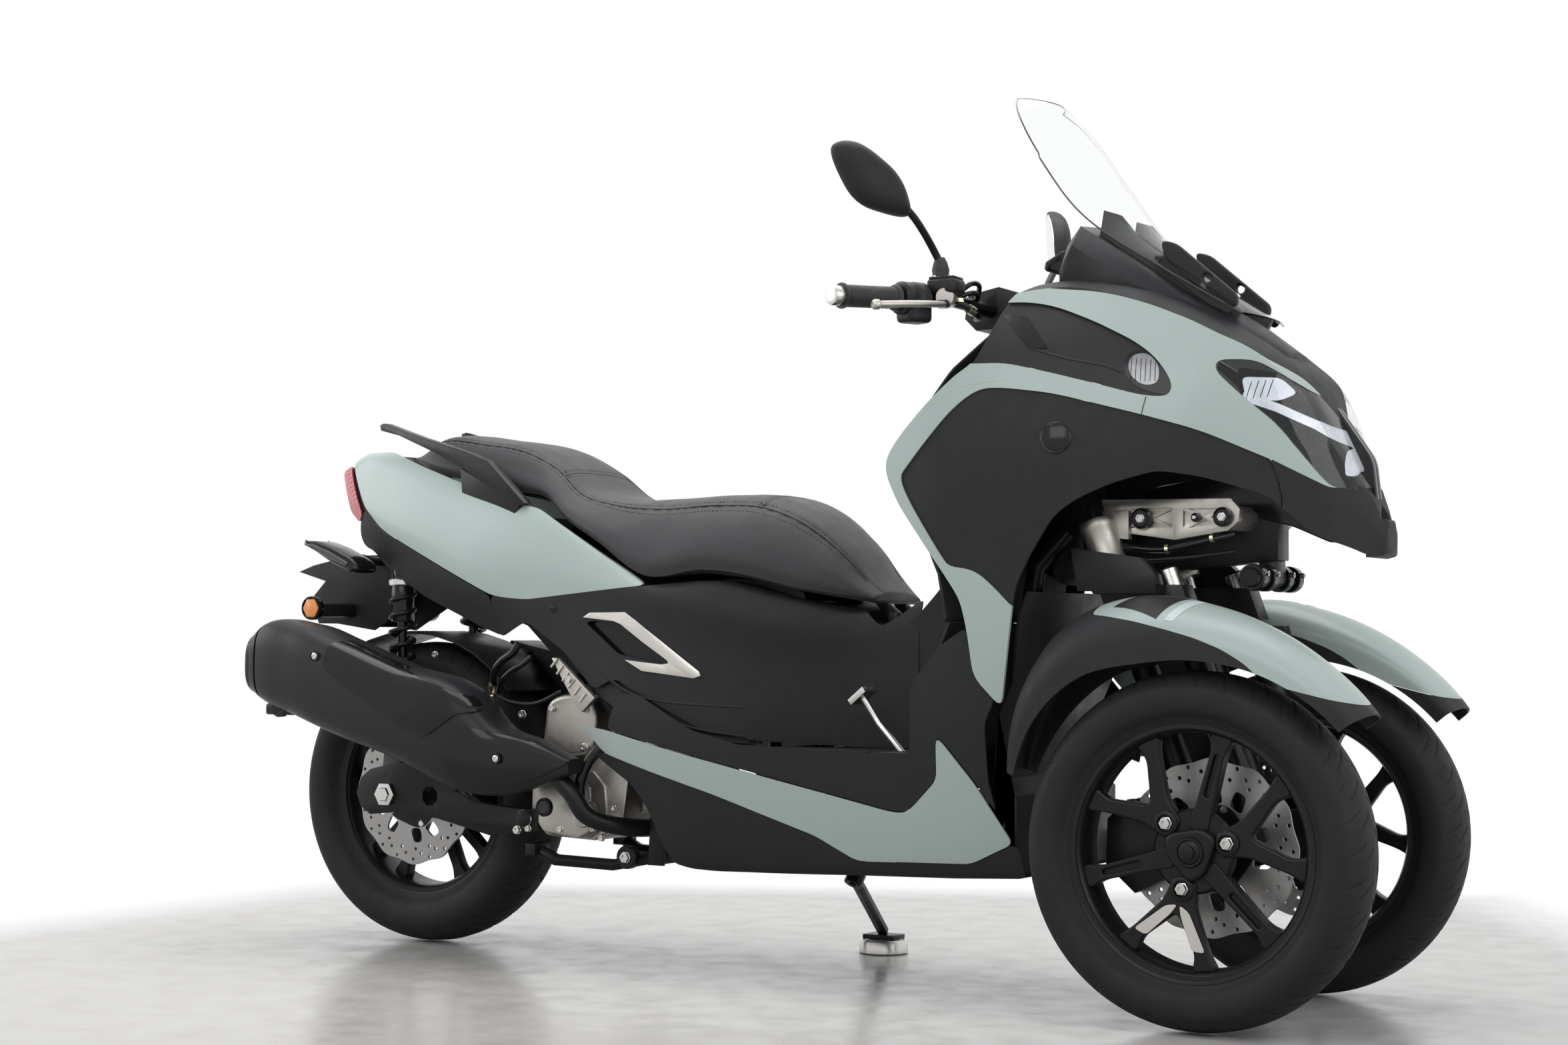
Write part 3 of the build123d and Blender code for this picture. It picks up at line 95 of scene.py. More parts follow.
def spread(tree, value, low, high, start=0.3, end=0.7):
    remap = tree.nodes.new("ShaderNodeMapRange")
    remap.inputs["From Min"].default_value = start
    remap.inputs["From Max"].default_value = end
    remap.inputs["To Min"].default_value = low
    remap.inputs["To Max"].default_value = high
    tree.links.new(value, remap.inputs["Value"])
    return remap.outputs["Result"]


def material(name, color, rough, metal=0.0, vary=0.1, vary_scale=9.0, rough_vary=0.06, grain=None, coat=0.0,
             stretch=(1, 1, 1), transmission=0.0, ior=1.46, sheen=0.0, specular=0.5, painted_glow=0.0):
    """Procedural material: colour and roughness vary softly, and grain = (scale, height in mm, kind) is its bump."""
    mat, tree, shader = node_tree(name)
    soft = noise(tree, vary_scale, 5.0)
    mix = tree.nodes.new("ShaderNodeMix")
    mix.data_type = "RGBA"
    mix.inputs[6].default_value = (*[c * (1 - vary) for c in color], 1)
    mix.inputs[7].default_value = (*[min(1, c * (1 + vary)) for c in color], 1)
    tree.links.new(soft.outputs[0], mix.inputs[0])
    tree.links.new(mix.outputs[2], shader.inputs["Base Color"])
    cloud = noise(tree, vary_scale * 4, 4.0)
    tree.links.new(spread(tree, cloud.outputs[0], max(0.0, rough - rough_vary), min(1, rough + rough_vary)),
                   shader.inputs["Roughness"])
    shader.inputs["Metallic"].default_value = metal
    shader.inputs["Coat Weight"].default_value = coat
    shader.inputs["Coat Roughness"].default_value = 0.06
    shader.inputs["Transmission Weight"].default_value = transmission
    shader.inputs["IOR"].default_value = ior
    shader.inputs["Sheen Weight"].default_value = sheen
    shader.inputs["Specular IOR Level"].default_value = specular
    # Painted light: the glow adds the base colour as emission, standing in for light that does not reach the part.
    if painted_glow:
        tree.links.new(mix.outputs[2], shader.inputs["Emission Color"])
        shader.inputs["Emission Strength"].default_value = painted_glow
    if grain:
        scale, height, kind = grain
        tex = noise(tree, scale, 4.0, stretch, kind)
        bump = tree.nodes.new("ShaderNodeBump")
        bump.inputs["Distance"].default_value = height / 1000
        bump.inputs["Strength"].default_value = 1.0
        tree.links.new(tex.outputs[0], bump.inputs["Height"])
        tree.links.new(bump.outputs[0], shader.inputs["Normal"])
    return mat


NOISE = "ShaderNodeTexNoise"
CELLS = "ShaderNodeTexVoronoi"
paint = material("sage_paint", (0.36, 0.425, 0.405), 0.34, vary=0.035, vary_scale=3, rough_vary=0.03,
                 grain=(260, 0.05, NOISE), coat=0.12, specular=0.35)
plastic = material("charcoal_plastic", (0.018, 0.0185, 0.02), 0.55, vary=0.12, grain=(950, 0.09, CELLS),
                   specular=0.22)
plastic_fine = material("satin_plastic", (0.016, 0.016, 0.018), 0.42, vary=0.1, grain=(1500, 0.03, NOISE),
                        specular=0.25)
gloss = material("gloss_black", (0.008, 0.008, 0.009), 0.16, vary=0.1, rough_vary=0.03, grain=(200, 0.03, NOISE),
                 coat=0.12, specular=0.25)
black_metal = material("black_metal", (0.008, 0.008, 0.009), 0.36, vary=0.15, grain=(700, 0.05, NOISE),
                       specular=0.25)
cast = material("cast_alloy", (0.42, 0.40, 0.37), 0.44, metal=1.0, vary=0.12, vary_scale=30,
                grain=(900, 0.12, NOISE))
steel = material("plated_steel", (0.55, 0.54, 0.52), 0.26, metal=1.0, vary=0.1, vary_scale=40,
                 grain=(300, 0.04, NOISE), stretch=(1, 1, 12))
zinc = material("zinc_plate", (0.62, 0.58, 0.44), 0.3, metal=1.0, vary=0.18, vary_scale=50, grain=(500, 0.04, NOISE))
chrome = material("mirror_glass", (0.75, 0.77, 0.8), 0.03, metal=1.0, vary=0.02, rough_vary=0.01)
trim_silver = material("satin_silver", (0.56, 0.54, 0.51), 0.32, metal=0.85, vary=0.05, grain=(900, 0.03, NOISE))
rubber = material("tyre_rubber", (0.019, 0.0185, 0.018), 0.62, vary=0.2, vary_scale=14, grain=(700, 0.12, NOISE),
                  specular=0.2)
grip_rubber = material("grip_rubber", (0.02, 0.02, 0.021), 0.55, vary=0.12, grain=(900, 0.15, CELLS))
vinyl = material("seat_vinyl", (0.036, 0.036, 0.039), 0.46, vary=0.1, vary_scale=6, grain=(620, 0.22, CELLS),
                 sheen=0.05, specular=0.3)
vinyl_smooth = material("seat_vinyl_smooth", (0.03, 0.03, 0.032), 0.4, vary=0.1, grain=(900, 0.08, CELLS))
thread = material("seat_thread", (0.05, 0.05, 0.055), 0.7, vary=0.2, vary_scale=200, grain=(3000, 0.1, NOISE))
clear = material("clear_screen", (0.96, 0.975, 0.98), 0.02, vary=0.01, rough_vary=0.005, transmission=1.0, ior=1.06)
lens_clear = material("lamp_lens", (0.92, 0.94, 0.96), 0.03, vary=0.02, rough_vary=0.01, transmission=1.0, ior=1.08,
                      coat=0.4)
smoke = material("smoke_lens", (0.06, 0.06, 0.065), 0.08, vary=0.05, rough_vary=0.02, transmission=0.35, coat=0.5)
red_lens = material("red_lens", (0.42, 0.03, 0.045), 0.12, vary=0.08, rough_vary=0.03, coat=0.8,
                    grain=(420, 0.2, CELLS))
amber = material("amber_reflector", (0.85, 0.26, 0.02), 0.12, vary=0.1, rough_vary=0.03, coat=0.8,
                 grain=(380, 0.35, CELLS))
# Headlamp reflector and day strip: painted light, a faint glow standing in for the light the lens keeps out of the
# lamp.
lamp_insert_painted_glow = material("lamp_reflector", (0.5, 0.515, 0.54), 0.22, metal=0.3, vary=0.3, vary_scale=45,
               grain=(260, 0.3, CELLS), painted_glow=0.16)
# Headlamp housing wall: painted light, an even glow standing in for the light the lens keeps out of the lamp.
lamp_wall = material("lamp_wall", (0.2, 0.205, 0.21), 0.3, metal=0.3, vary=0.25, vary_scale=30,
                     grain=(160, 0.2, NOISE), painted_glow=0.4)
disc_steel = material("brake_disc", (0.3, 0.295, 0.29), 0.4, metal=1.0, vary=0.15, vary_scale=30,
                      grain=(400, 0.05, NOISE))
shell_grey = material("lamp_shell", (0.2, 0.205, 0.215), 0.25, metal=0.6, vary=0.1, vary_scale=25,
                      grain=(500, 0.05, NOISE), coat=0.4)
puck_steel = material("turned_steel", (0.6, 0.59, 0.57), 0.3, metal=1.0, vary=0.08, grain=(220, 0.05, NOISE),
                      stretch=(1, 1, 20))
decal = material("decal_stripe", (0.55, 0.6, 0.59), 0.35, vary=0.03)


# Mesh helpers

def hermite(table, x):
    """Row of a station table at x: smooth between its rows, value by value."""
    xs = [r[0] for r in table]
    if x <= xs[0]:
        return list(table[0][1:])
    if x >= xs[-1]:
        return list(table[-1][1:])
    n = max(i for i in range(len(xs) - 1) if xs[i] <= x)
    h = xs[n + 1] - xs[n]
    t = (x - xs[n]) / h
    values = []
    for c in range(1, len(table[0])):
        v = [r[c] for r in table]

        def slope(i):
            if i == 0:
                return (v[1] - v[0]) / (xs[1] - xs[0])
            if i == len(v) - 1:
                return (v[-1] - v[-2]) / (xs[-1] - xs[-2])
            a = (v[i] - v[i - 1]) / (xs[i] - xs[i - 1])
            b = (v[i + 1] - v[i]) / (xs[i + 1] - xs[i])
            w = (xs[i] - xs[i - 1]) / (xs[i + 1] - xs[i - 1])
            return a * (1 - w) + b * w

        m0, m1 = slope(n) * h, slope(n + 1) * h
        values.append(v[n] * (2 * t ** 3 - 3 * t ** 2 + 1) + m0 * (t ** 3 - 2 * t ** 2 + t)
                      + v[n + 1] * (3 * t ** 2 - 2 * t ** 3) + m1 * (t ** 3 - t ** 2))
    return values


def catmull(points, steps, closed=False):
    """Smooth line through points, with steps pieces between one and the next."""
    pts = [Vector(p) for p in points]
    count = len(pts)
    line = []
    for n in range(count if closed else count - 1):
        p1, p2 = pts[n], pts[(n + 1) % count]
        p0 = pts[n - 1] if closed or n else p1 * 2 - p2
        p3 = pts[(n + 2) % count] if closed or n + 2 < count else p2 * 2 - p1
        d0, d1, d2 = (max((b - a).length, 1e-6) ** 0.5 for a, b in ((p0, p1), (p1, p2), (p2, p3)))
        m1 = (p1 - p0) / d0 - (p2 - p0) / (d0 + d1) + (p2 - p1) / d1
        m2 = (p2 - p1) / d1 - (p3 - p1) / (d1 + d2) + (p3 - p2) / d2
        m1, m2 = m1 * d1, m2 * d1
        for k in range(steps):
            t = k / steps
            line.append(p1 * (2 * t ** 3 - 3 * t ** 2 + 1) + m1 * (t ** 3 - 2 * t ** 2 + t)
                        + p2 * (3 * t ** 2 - 2 * t ** 3) + m2 * (t ** 3 - t ** 2))
    if not closed:
        line.append(pts[-1])
    return line


def rounded(points, reach=20.0, steps=4):
    """Closed outline with each corner turned into a curve that starts up to reach before it."""
    count = len(points)
    line = []
    for n in range(count):
        a, b, c = (Vector(points[(n + k) % count]) for k in (-1, 0, 1))
        p = b + (a - b).normalized() * min(reach, 0.48 * (a - b).length)
        q = b + (c - b).normalized() * min(reach, 0.48 * (c - b).length)
        for k in range(steps + 1):
            t = k / steps
            line.append(tuple(p * (1 - t) ** 2 + b * 2 * t * (1 - t) + q * t ** 2))
    return line


def grown(points, amount):
    """Closed outline moved outward by amount."""
    pts = [Vector(p) for p in points]
    area = sum(a.x * b.y - b.x * a.y for a, b in zip(pts, pts[1:] + pts[:1]))
    turn = 1 if area > 0 else -1
    line = []
    for n, p in enumerate(pts):
        before, after = p - pts[n - 1], pts[(n + 1) % len(pts)] - p
        if before.length < 1e-4 or after.length < 1e-4:
            line.append(tuple(p))
            continue
        way = before.normalized() + after.normalized()
        way = way.normalized() if way.length > 1e-3 else before.normalized()
        side = Vector((way.y, -way.x)) * turn
        line.append(tuple(p + side * amount))
    return line


def grid_faces(rows, cols, round_rows=False, round_cols=False):
    """Faces between rows of points that follow one another."""
    faces = []
    for i in range(rows if round_rows else rows - 1):
        a, b = i * cols, (i + 1) % rows * cols
        for k in range(cols if round_cols else cols - 1):
            j = (k + 1) % cols
            faces.append((a + k, a + j, b + j, b + k))
    return faces


def moved_in(line, inset):
    """Half section (y, z) of a body form, moved inward by inset."""
    moved = []
    for n, (y, z) in enumerate(line):
        a, b = Vector(line[max(n - 1, 0)]), Vector(line[min(n + 1, len(line) - 1)])
        way = (b - a).normalized()
        moved.append((max(y + way.y * inset, 0.0), z - way.x * inset))
    return moved


def new_object(name, mesh):
    obj = bpy.data.objects.new(name, mesh)
    bpy.context.scene.collection.objects.link(obj)
    return obj


def mesh_object(verts, faces, mat, name="piece"):
    mesh = bpy.data.meshes.new(name)
    mesh.from_pydata([tuple(v) for v in verts], [], faces)
    mesh.materials.append(mat)
    return new_object(name, mesh)


def applied(obj):
    """Turns the object's modifiers into plain mesh."""
    bpy.context.view_layer.update()
    mesh = bpy.data.meshes.new_from_object(obj.evaluated_get(bpy.context.evaluated_depsgraph_get()))
    old = obj.data
    if isinstance(obj.data, bpy.types.Mesh):
        obj.modifiers.clear()
        obj.data = mesh
        bpy.data.meshes.remove(old)
        return obj
    mats = [m for m in old.materials]
    fresh = new_object(obj.name, mesh)
    if not mesh.materials:
        for m in mats:
            mesh.materials.append(m)
    bpy.data.objects.remove(obj)
    return fresh


def faced_out(obj, weld=False):
    """Turns all faces outward, after joining points that meet where weld is set."""
    bm = bmesh.new()
    bm.from_mesh(obj.data)
    if weld:
        bmesh.ops.remove_doubles(bm, verts=bm.verts, dist=1e-6)
    bmesh.ops.recalc_face_normals(bm, faces=bm.faces)
    bm.to_mesh(obj.data)
    bm.free()
    return obj


def modified(obj, kind, **settings):
    mod = obj.modifiers.new(kind.lower(), kind)
    for key, value in settings.items():
        setattr(mod, key, value)
    return applied(obj)


def bevelled(obj, width, segments=2, angle=35.0):
    """Rounds the object's sharp edges, width in mm."""
    return modified(obj, "BEVEL", width=width / 1000, segments=segments, limit_method="ANGLE",
                    angle_limit=math.radians(angle), use_clamp_overlap=True)


def shaded(obj, angle=38.0):
    """Smooth shading, with edges sharper than angle kept crisp."""
    bm = bmesh.new()
    bm.from_mesh(obj.data)
    limit = math.radians(angle)
    for face in bm.faces:
        face.smooth = True
    for edge in bm.edges:
        edge.smooth = len(edge.link_faces) != 2 or edge.calc_face_angle(0) < limit
    bm.to_mesh(obj.data)
    bm.free()
    return obj


def boolean(obj, cutter, operation):
    out = modified(obj, "BOOLEAN", operation=operation, object=cutter, solver="EXACT")
    bpy.data.objects.remove(cutter)
    return out


def prism(points, y_low, y_high, axis="y"):
    """Cutter or plain block with a side-view outline (or a plan outline with axis z)."""
    place = (lambda a, b, c: row(a, c, b)) if axis == "y" else (lambda a, b, c: row(a, b, c))
    count = len(points)
    verts = [place(*p[:2], y_low) for p in points] + [place(*p[:2], y_high) for p in points]
    faces = [tuple(range(count)), tuple(range(2 * count - 1, count - 1, -1))]
    faces += [(n, n + count, (n + 1) % count + count, (n + 1) % count) for n in range(count)]
    return faced_out(mesh_object(verts, faces, plastic))


def plate(outlines, y_low, y_high, mat, bevel=1.5, plane="side"):
    """Plate with rounded edges, cut to an outline, with the further outlines as its holes."""
    data = bpy.data.curves.new("plate", "CURVE")
    data.dimensions = "2D"
    data.fill_mode = "BOTH"
    data.extrude = (abs(y_high - y_low) / 2 - bevel) / 1000
    data.bevel_depth = bevel / 1000
    data.bevel_resolution = 2
    data.offset = -bevel / 1000
    for outline in outlines:
        spline = data.splines.new("POLY")
        spline.points.add(len(outline) - 1)
        for point, (a, b) in zip(spline.points, outline):
            point.co = (a / 1000, b / 1000, 0, 1)
        spline.use_cyclic_u = True
    data.materials.append(mat)
    obj = applied(new_object("plate", data))
    middle = (y_low + y_high) / 2000
    turn = Matrix.Rotation(math.pi / 2, 4, "X") if plane == "side" else Matrix.Identity(4)
    at = (-ORIGIN_X / 1000, middle, 0) if plane == "side" else (-ORIGIN_X / 1000, 0, middle)
    obj.data.transform(Matrix.Translation(at) @ turn)
    return shaded(obj, 50)


def tube(points, radius, mat, smooth=6, sides=4, closed=False):
    """Round tube along a smooth line through points."""
    line = catmull(points, smooth, closed) if smooth else [Vector(p) for p in points]
    data = bpy.data.curves.new("tube", "CURVE")
    data.dimensions = "3D"
    data.bevel_depth = radius / 1000
    data.bevel_resolution = sides
    data.use_fill_caps = not closed
    spline = data.splines.new("POLY")
    spline.points.add(len(line) - 1)
    for point, at in zip(spline.points, line):
        point.co = (*row(*at), 1)
    spline.use_cyclic_u = closed
    data.materials.append(mat)
    return shaded(applied(new_object("tube", data)), 50)


def lathe(profile, x, y, z, mat, turns=96, axis="y", closed=True):
    """Turned piece: profile is (radius, distance along the axis) in mm, round a line through (x, y, z)."""
    count = len(profile)
    verts = []
    for n in range(turns):
        a = 2 * math.pi * n / turns
        for r, d in profile:
            if axis == "y":
                verts.append(row(x + r * math.cos(a), y + d, z + r * math.sin(a)))
            elif axis == "z":
                verts.append(row(x + r * math.cos(a), y + r * math.sin(a), z + d))
            else:
                verts.append(row(x + d, y + r * math.cos(a), z + r * math.sin(a)))
    obj = mesh_object(verts, grid_faces(turns, count, True, closed), mat)
    return shaded(faced_out(obj, True), 40)


def turned(profile, start, end, mat, turns=48):
    """Turned piece round the line from start to end: profile is (radius, distance from start) in mm."""
    a, b = Vector(start), Vector(end)
    way = (b - a).normalized()
    across = way.orthogonal().normalized()
    other = way.cross(across)
    verts = []
    for n in range(turns):
        t = 2 * math.pi * n / turns
        ray = across * math.cos(t) + other * math.sin(t)
        verts += [row(*(a + way * d + ray * r)) for r, d in profile]
    obj = mesh_object(verts, grid_faces(turns, len(profile), True, True), mat)
    return shaded(faced_out(obj, True), 40)


def skinned(rings, mat, angle=40.0):
    """Closed skin through rings of points, with flat ends."""
    count = len(rings[0])
    verts = [row(*p) for ring in rings for p in ring]
    faces = [tuple(range(count)), tuple(range((len(rings) - 1) * count, len(rings) * count))]
    faces += grid_faces(len(rings), count, round_cols=True)
    return shaded(faced_out(mesh_object(verts, faces, mat)), angle)


def on_skin(section, x, z, inset=0.0):
    """Point of the right-hand side of a body form at x and height z."""
    line = section(x, inset)
    best = None
    for (ya, za), (yb, zb) in zip(line, line[1:]):
        if min(za, zb) <= z <= max(za, zb) and za != zb:
            y = ya + (yb - ya) * (z - za) / (zb - za)
            best = y if best is None else max(best, y)
    return (x, -(best if best is not None else line[-1][0]), z)


def skin_line(section, points, inset, radius, mat, steps=8, smooth=True):
    """Round bead along a line drawn on a body form."""
    way = catmull([(x, z, 0) for x, z in points], steps) if smooth else [Vector((x, z, 0)) for x, z in points]
    return tube([on_skin(section, q.x, q.y, inset) for q in way], radius, mat, 0, 3)


def stitches(points, mat, pitch=7.0, length=4.6, radius=0.55):
    """Row of thread stitches along a line."""
    line = [Vector(q) for q in points]
    out, travelled, want = [], 0.0, 0.0
    verts, faces = [], []
    for a, b in zip(line, line[1:]):
        step = (b - a).length
        while want <= travelled + step:
            at = a + (b - a) * ((want - travelled) / max(step, 1e-6))
            way = (b - a).normalized()
            side = way.orthogonal().normalized() * radius
            lift = way.cross(side).normalized() * radius
            start = len(verts)
            for d in (-length / 2, -length / 4, length / 4, length / 2):
                k = 0.35 if abs(d) > length / 3 else 1.0
                for n in range(6):
                    t = math.pi * n / 3
                    verts.append(row(*(at + way * d + (side * math.cos(t) + lift * math.sin(t)) * k)))
            for i in range(3):
                for n in range(6):
                    m = (n + 1) % 6
                    faces.append((start + i * 6 + n, start + i * 6 + m, start + i * 6 + 6 + m, start + i * 6 + 6 + n))
            faces.append(tuple(start + n for n in range(5, -1, -1)))
            faces.append(tuple(start + 18 + n for n in range(6)))
            want += pitch
        travelled += step
    return mesh_object(verts, faces, mat)


def screw(x, y, z, radius, side, mat):
    """Round screw head with a socket, in a shallow dark cup."""
    cup = lathe([(0, -side * 1.5), (radius * 1.7, -side * 1.5), (radius * 1.7, side * 0.4), (radius * 1.35, side * 0.7),
                 (radius * 1.25, -side * 0.8), (0, -side * 0.8)], x, y, z, gloss, 24)
    head = lathe([(0, -side), (radius, -side), (radius, side * 0.6), (radius * 0.8, side * 1.4),
                  (radius * 0.45, side * 1.4), (radius * 0.4, side * 0.2), (0, side * 0.2)], x, y, z, mat, 18)
    return [cup, head]


def block(x, y, z, size, mat, bevel=2.0, turn=(0, 0, 0)):
    """Box with rounded edges."""
    mesh = bpy.data.meshes.new("block")
    bm = bmesh.new()
    bmesh.ops.create_cube(bm, size=1.0)
    bmesh.ops.scale(bm, vec=[s / 1000 for s in size], verts=bm.verts)
    bm.to_mesh(mesh)
    bm.free()
    mesh.materials.append(mat)
    obj = bevelled(new_object("block", mesh), bevel, 3, 30)
    spin = Matrix.Rotation(math.radians(turn[2]), 4, "Z") @ Matrix.Rotation(math.radians(turn[1]), 4, "Y") @ (
        Matrix.Rotation(math.radians(turn[0]), 4, "X"))
    obj.data.transform(Matrix.Translation(row(x, y, z)) @ spin)
    return shaded(obj, 40)


def bolt(x, y, z, radius, side, mat, length=6.0, axis="y"):
    """Hexagon-headed or round screw that faces out along an axis."""
    profile = [(0, 0), (radius * 1.15, 0), (radius * 1.15, side * length * 0.3), (radius, side * length * 0.35),
               (radius, side * length), (radius * 0.55, side * length * 1.02), (radius * 0.5, side * length * 0.7),
               (0, side * length * 0.7)]
    return lathe(profile, x, y, z, mat, 6, axis)


def copied(obj):
    return new_object(obj.name, obj.data.copy())


def mirrored(obj):
    """Copy of the object on the other side of the vehicle."""
    twin = copied(obj)
    bm = bmesh.new()
    bm.from_mesh(twin.data)
    bmesh.ops.scale(bm, vec=(1, -1, 1), verts=bm.verts)
    bmesh.ops.reverse_faces(bm, faces=bm.faces)
    bm.to_mesh(twin.data)
    bm.free()
    return twin


def both(objs):
    return objs + [mirrored(o) for o in objs]


def piece(name, objs, body, slot, *nodes):
    """Joins objects into one piece that rides on a body and stands for CAD nodes."""
    mats = []
    bm = bmesh.new()
    for obj in objs:
        start = len(bm.faces)
        bm.from_mesh(obj.data)
        bm.faces.ensure_lookup_table()
        own = [m for m in obj.data.materials]
        for m in own:
            if m not in mats:
                mats.append(m)
        for face in bm.faces[start:]:
            face.material_index = mats.index(own[min(face.material_index, len(own) - 1)])
    mesh = bpy.data.meshes.new(name)
    bm.to_mesh(mesh)
    bm.free()
    for m in mats:
        mesh.materials.append(m)
    for obj in objs:
        bpy.data.objects.remove(obj)
    whole = new_object(name, mesh)
    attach(whole, body)
    if nodes:
        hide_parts(*nodes)
    return whole


def panel(name, obj, slot, *nodes):
    """Body panel on both sides of the chassis."""
    return piece(name, both([shaded(obj, 30)]), "chassis", slot, *nodes)


def softened(node, mat, width=2.0, angle=30.0, segments=2):
    """The node's own shape with its edges rounded."""
    obj = new_object("soft_" + node, frame["nodes"][node].data.copy())
    obj.data.materials.clear()
    obj.data.materials.append(mat)
    for poly in obj.data.polygons:
        poly.material_index = 0
    bm = bmesh.new()
    bm.from_mesh(obj.data)
    bmesh.ops.remove_doubles(bm, verts=bm.verts, dist=2e-5)
    bmesh.ops.dissolve_limit(bm, angle_limit=math.radians(1.0), verts=bm.verts, edges=bm.edges)
    bmesh.ops.recalc_face_normals(bm, faces=bm.faces)
    bm.to_mesh(obj.data)
    bm.free()
    if width:
        obj = bevelled(obj, width, segments, angle)
    return shaded(obj, 40)


# Camera, light, floor and backdrop

PHOTO_W = 2352
FOCAL_PX = 3763.57
SENSOR_MM = 36.0
CAMERA_AT = (2949.07, -3692.58, 577.82)
AZIMUTH, ELEVATION, ROLL = (math.radians(a) for a in (30.787, -2.455, 0.405))


def add_camera():
    a, p, r = AZIMUTH, ELEVATION, ROLL
    back = Vector((math.sin(a) * math.cos(p), -math.cos(a) * math.cos(p), math.sin(p)))
    right = Vector((math.cos(a), math.sin(a), 0))
    up = back.cross(right)
    side = right * math.cos(r) + up * math.sin(r)
    top = up * math.cos(r) - right * math.sin(r)
    data = bpy.data.cameras.new("camera")
    data.sensor_width = SENSOR_MM
    data.sensor_fit = "HORIZONTAL"
    data.lens = FOCAL_PX / PHOTO_W * SENSOR_MM
    data.clip_end = 100
    data.dof.use_dof = False
    camera = bpy.data.objects.new("camera", data)
    bpy.context.scene.collection.objects.link(camera)
    turn = Matrix((side, top, back)).transposed().to_4x4()
    camera.matrix_world = Matrix.Translation(row(*CAMERA_AT)) @ turn
    bpy.context.scene.camera = camera


def area_light(name, at, aim, size, power, height=None):
    data = bpy.data.lights.new(name, "AREA")
    data.energy = power
    data.shape = "RECTANGLE"
    data.size = size
    data.size_y = height or size
    lamp = bpy.data.objects.new(name, data)
    bpy.context.scene.collection.objects.link(lamp)
    lamp.location = at
    lamp.rotation_euler = (Vector(aim) - Vector(at)).to_track_quat("-Z", "Y").to_euler()


def add_world():
    world = bpy.data.worlds.new("studio")
    world.use_nodes = True
    tree = world.node_tree
    tree.nodes.clear()
    out = tree.nodes.new("ShaderNodeOutputWorld")
    mix = tree.nodes.new("ShaderNodeMixShader")
    ambient = tree.nodes.new("ShaderNodeBackground")
    seen = tree.nodes.new("ShaderNodeBackground")
    path = tree.nodes.new("ShaderNodeLightPath")
    widest = tree.nodes.new("ShaderNodeMath")
    widest.operation = "MAXIMUM"
    ambient.inputs["Color"].default_value = (0.93, 0.96, 1.0, 1)
    ambient.inputs["Strength"].default_value = 0.5
    seen.inputs["Strength"].default_value = 1.0
    seen.inputs["Color"].default_value = (1, 1, 1, 1)
    tree.links.new(path.outputs["Is Camera Ray"], widest.inputs[0])
    tree.links.new(path.outputs["Is Transmission Ray"], widest.inputs[1])
    any_ray = tree.nodes.new("ShaderNodeMath")
    any_ray.operation = "MAXIMUM"
    tree.links.new(widest.outputs[0], any_ray.inputs[0])
    tree.links.new(path.outputs["Is Glossy Ray"], any_ray.inputs[1])
    tree.links.new(any_ray.outputs[0], mix.inputs[0])
    tree.links.new(ambient.outputs[0], mix.inputs[1])
    tree.links.new(seen.outputs[0], mix.inputs[2])
    tree.links.new(mix.outputs[0], out.inputs[0])
    bpy.context.scene.world = world


# Sides of the grey floor: the direction outward and its distance from the middle, in metres
FLOOR_SIDES = ((-1.0, 0.0, 1.5), (-0.463, 0.886, 1.29), (0.839, 0.545, 1.5), (0.463, -0.886, 2.7))
FLOOR_FADE = (0.93, 1.12)
FLOOR_TONES = ((0.44, 0.425, 0.41, 1), (0.53, 0.515, 0.5, 1))


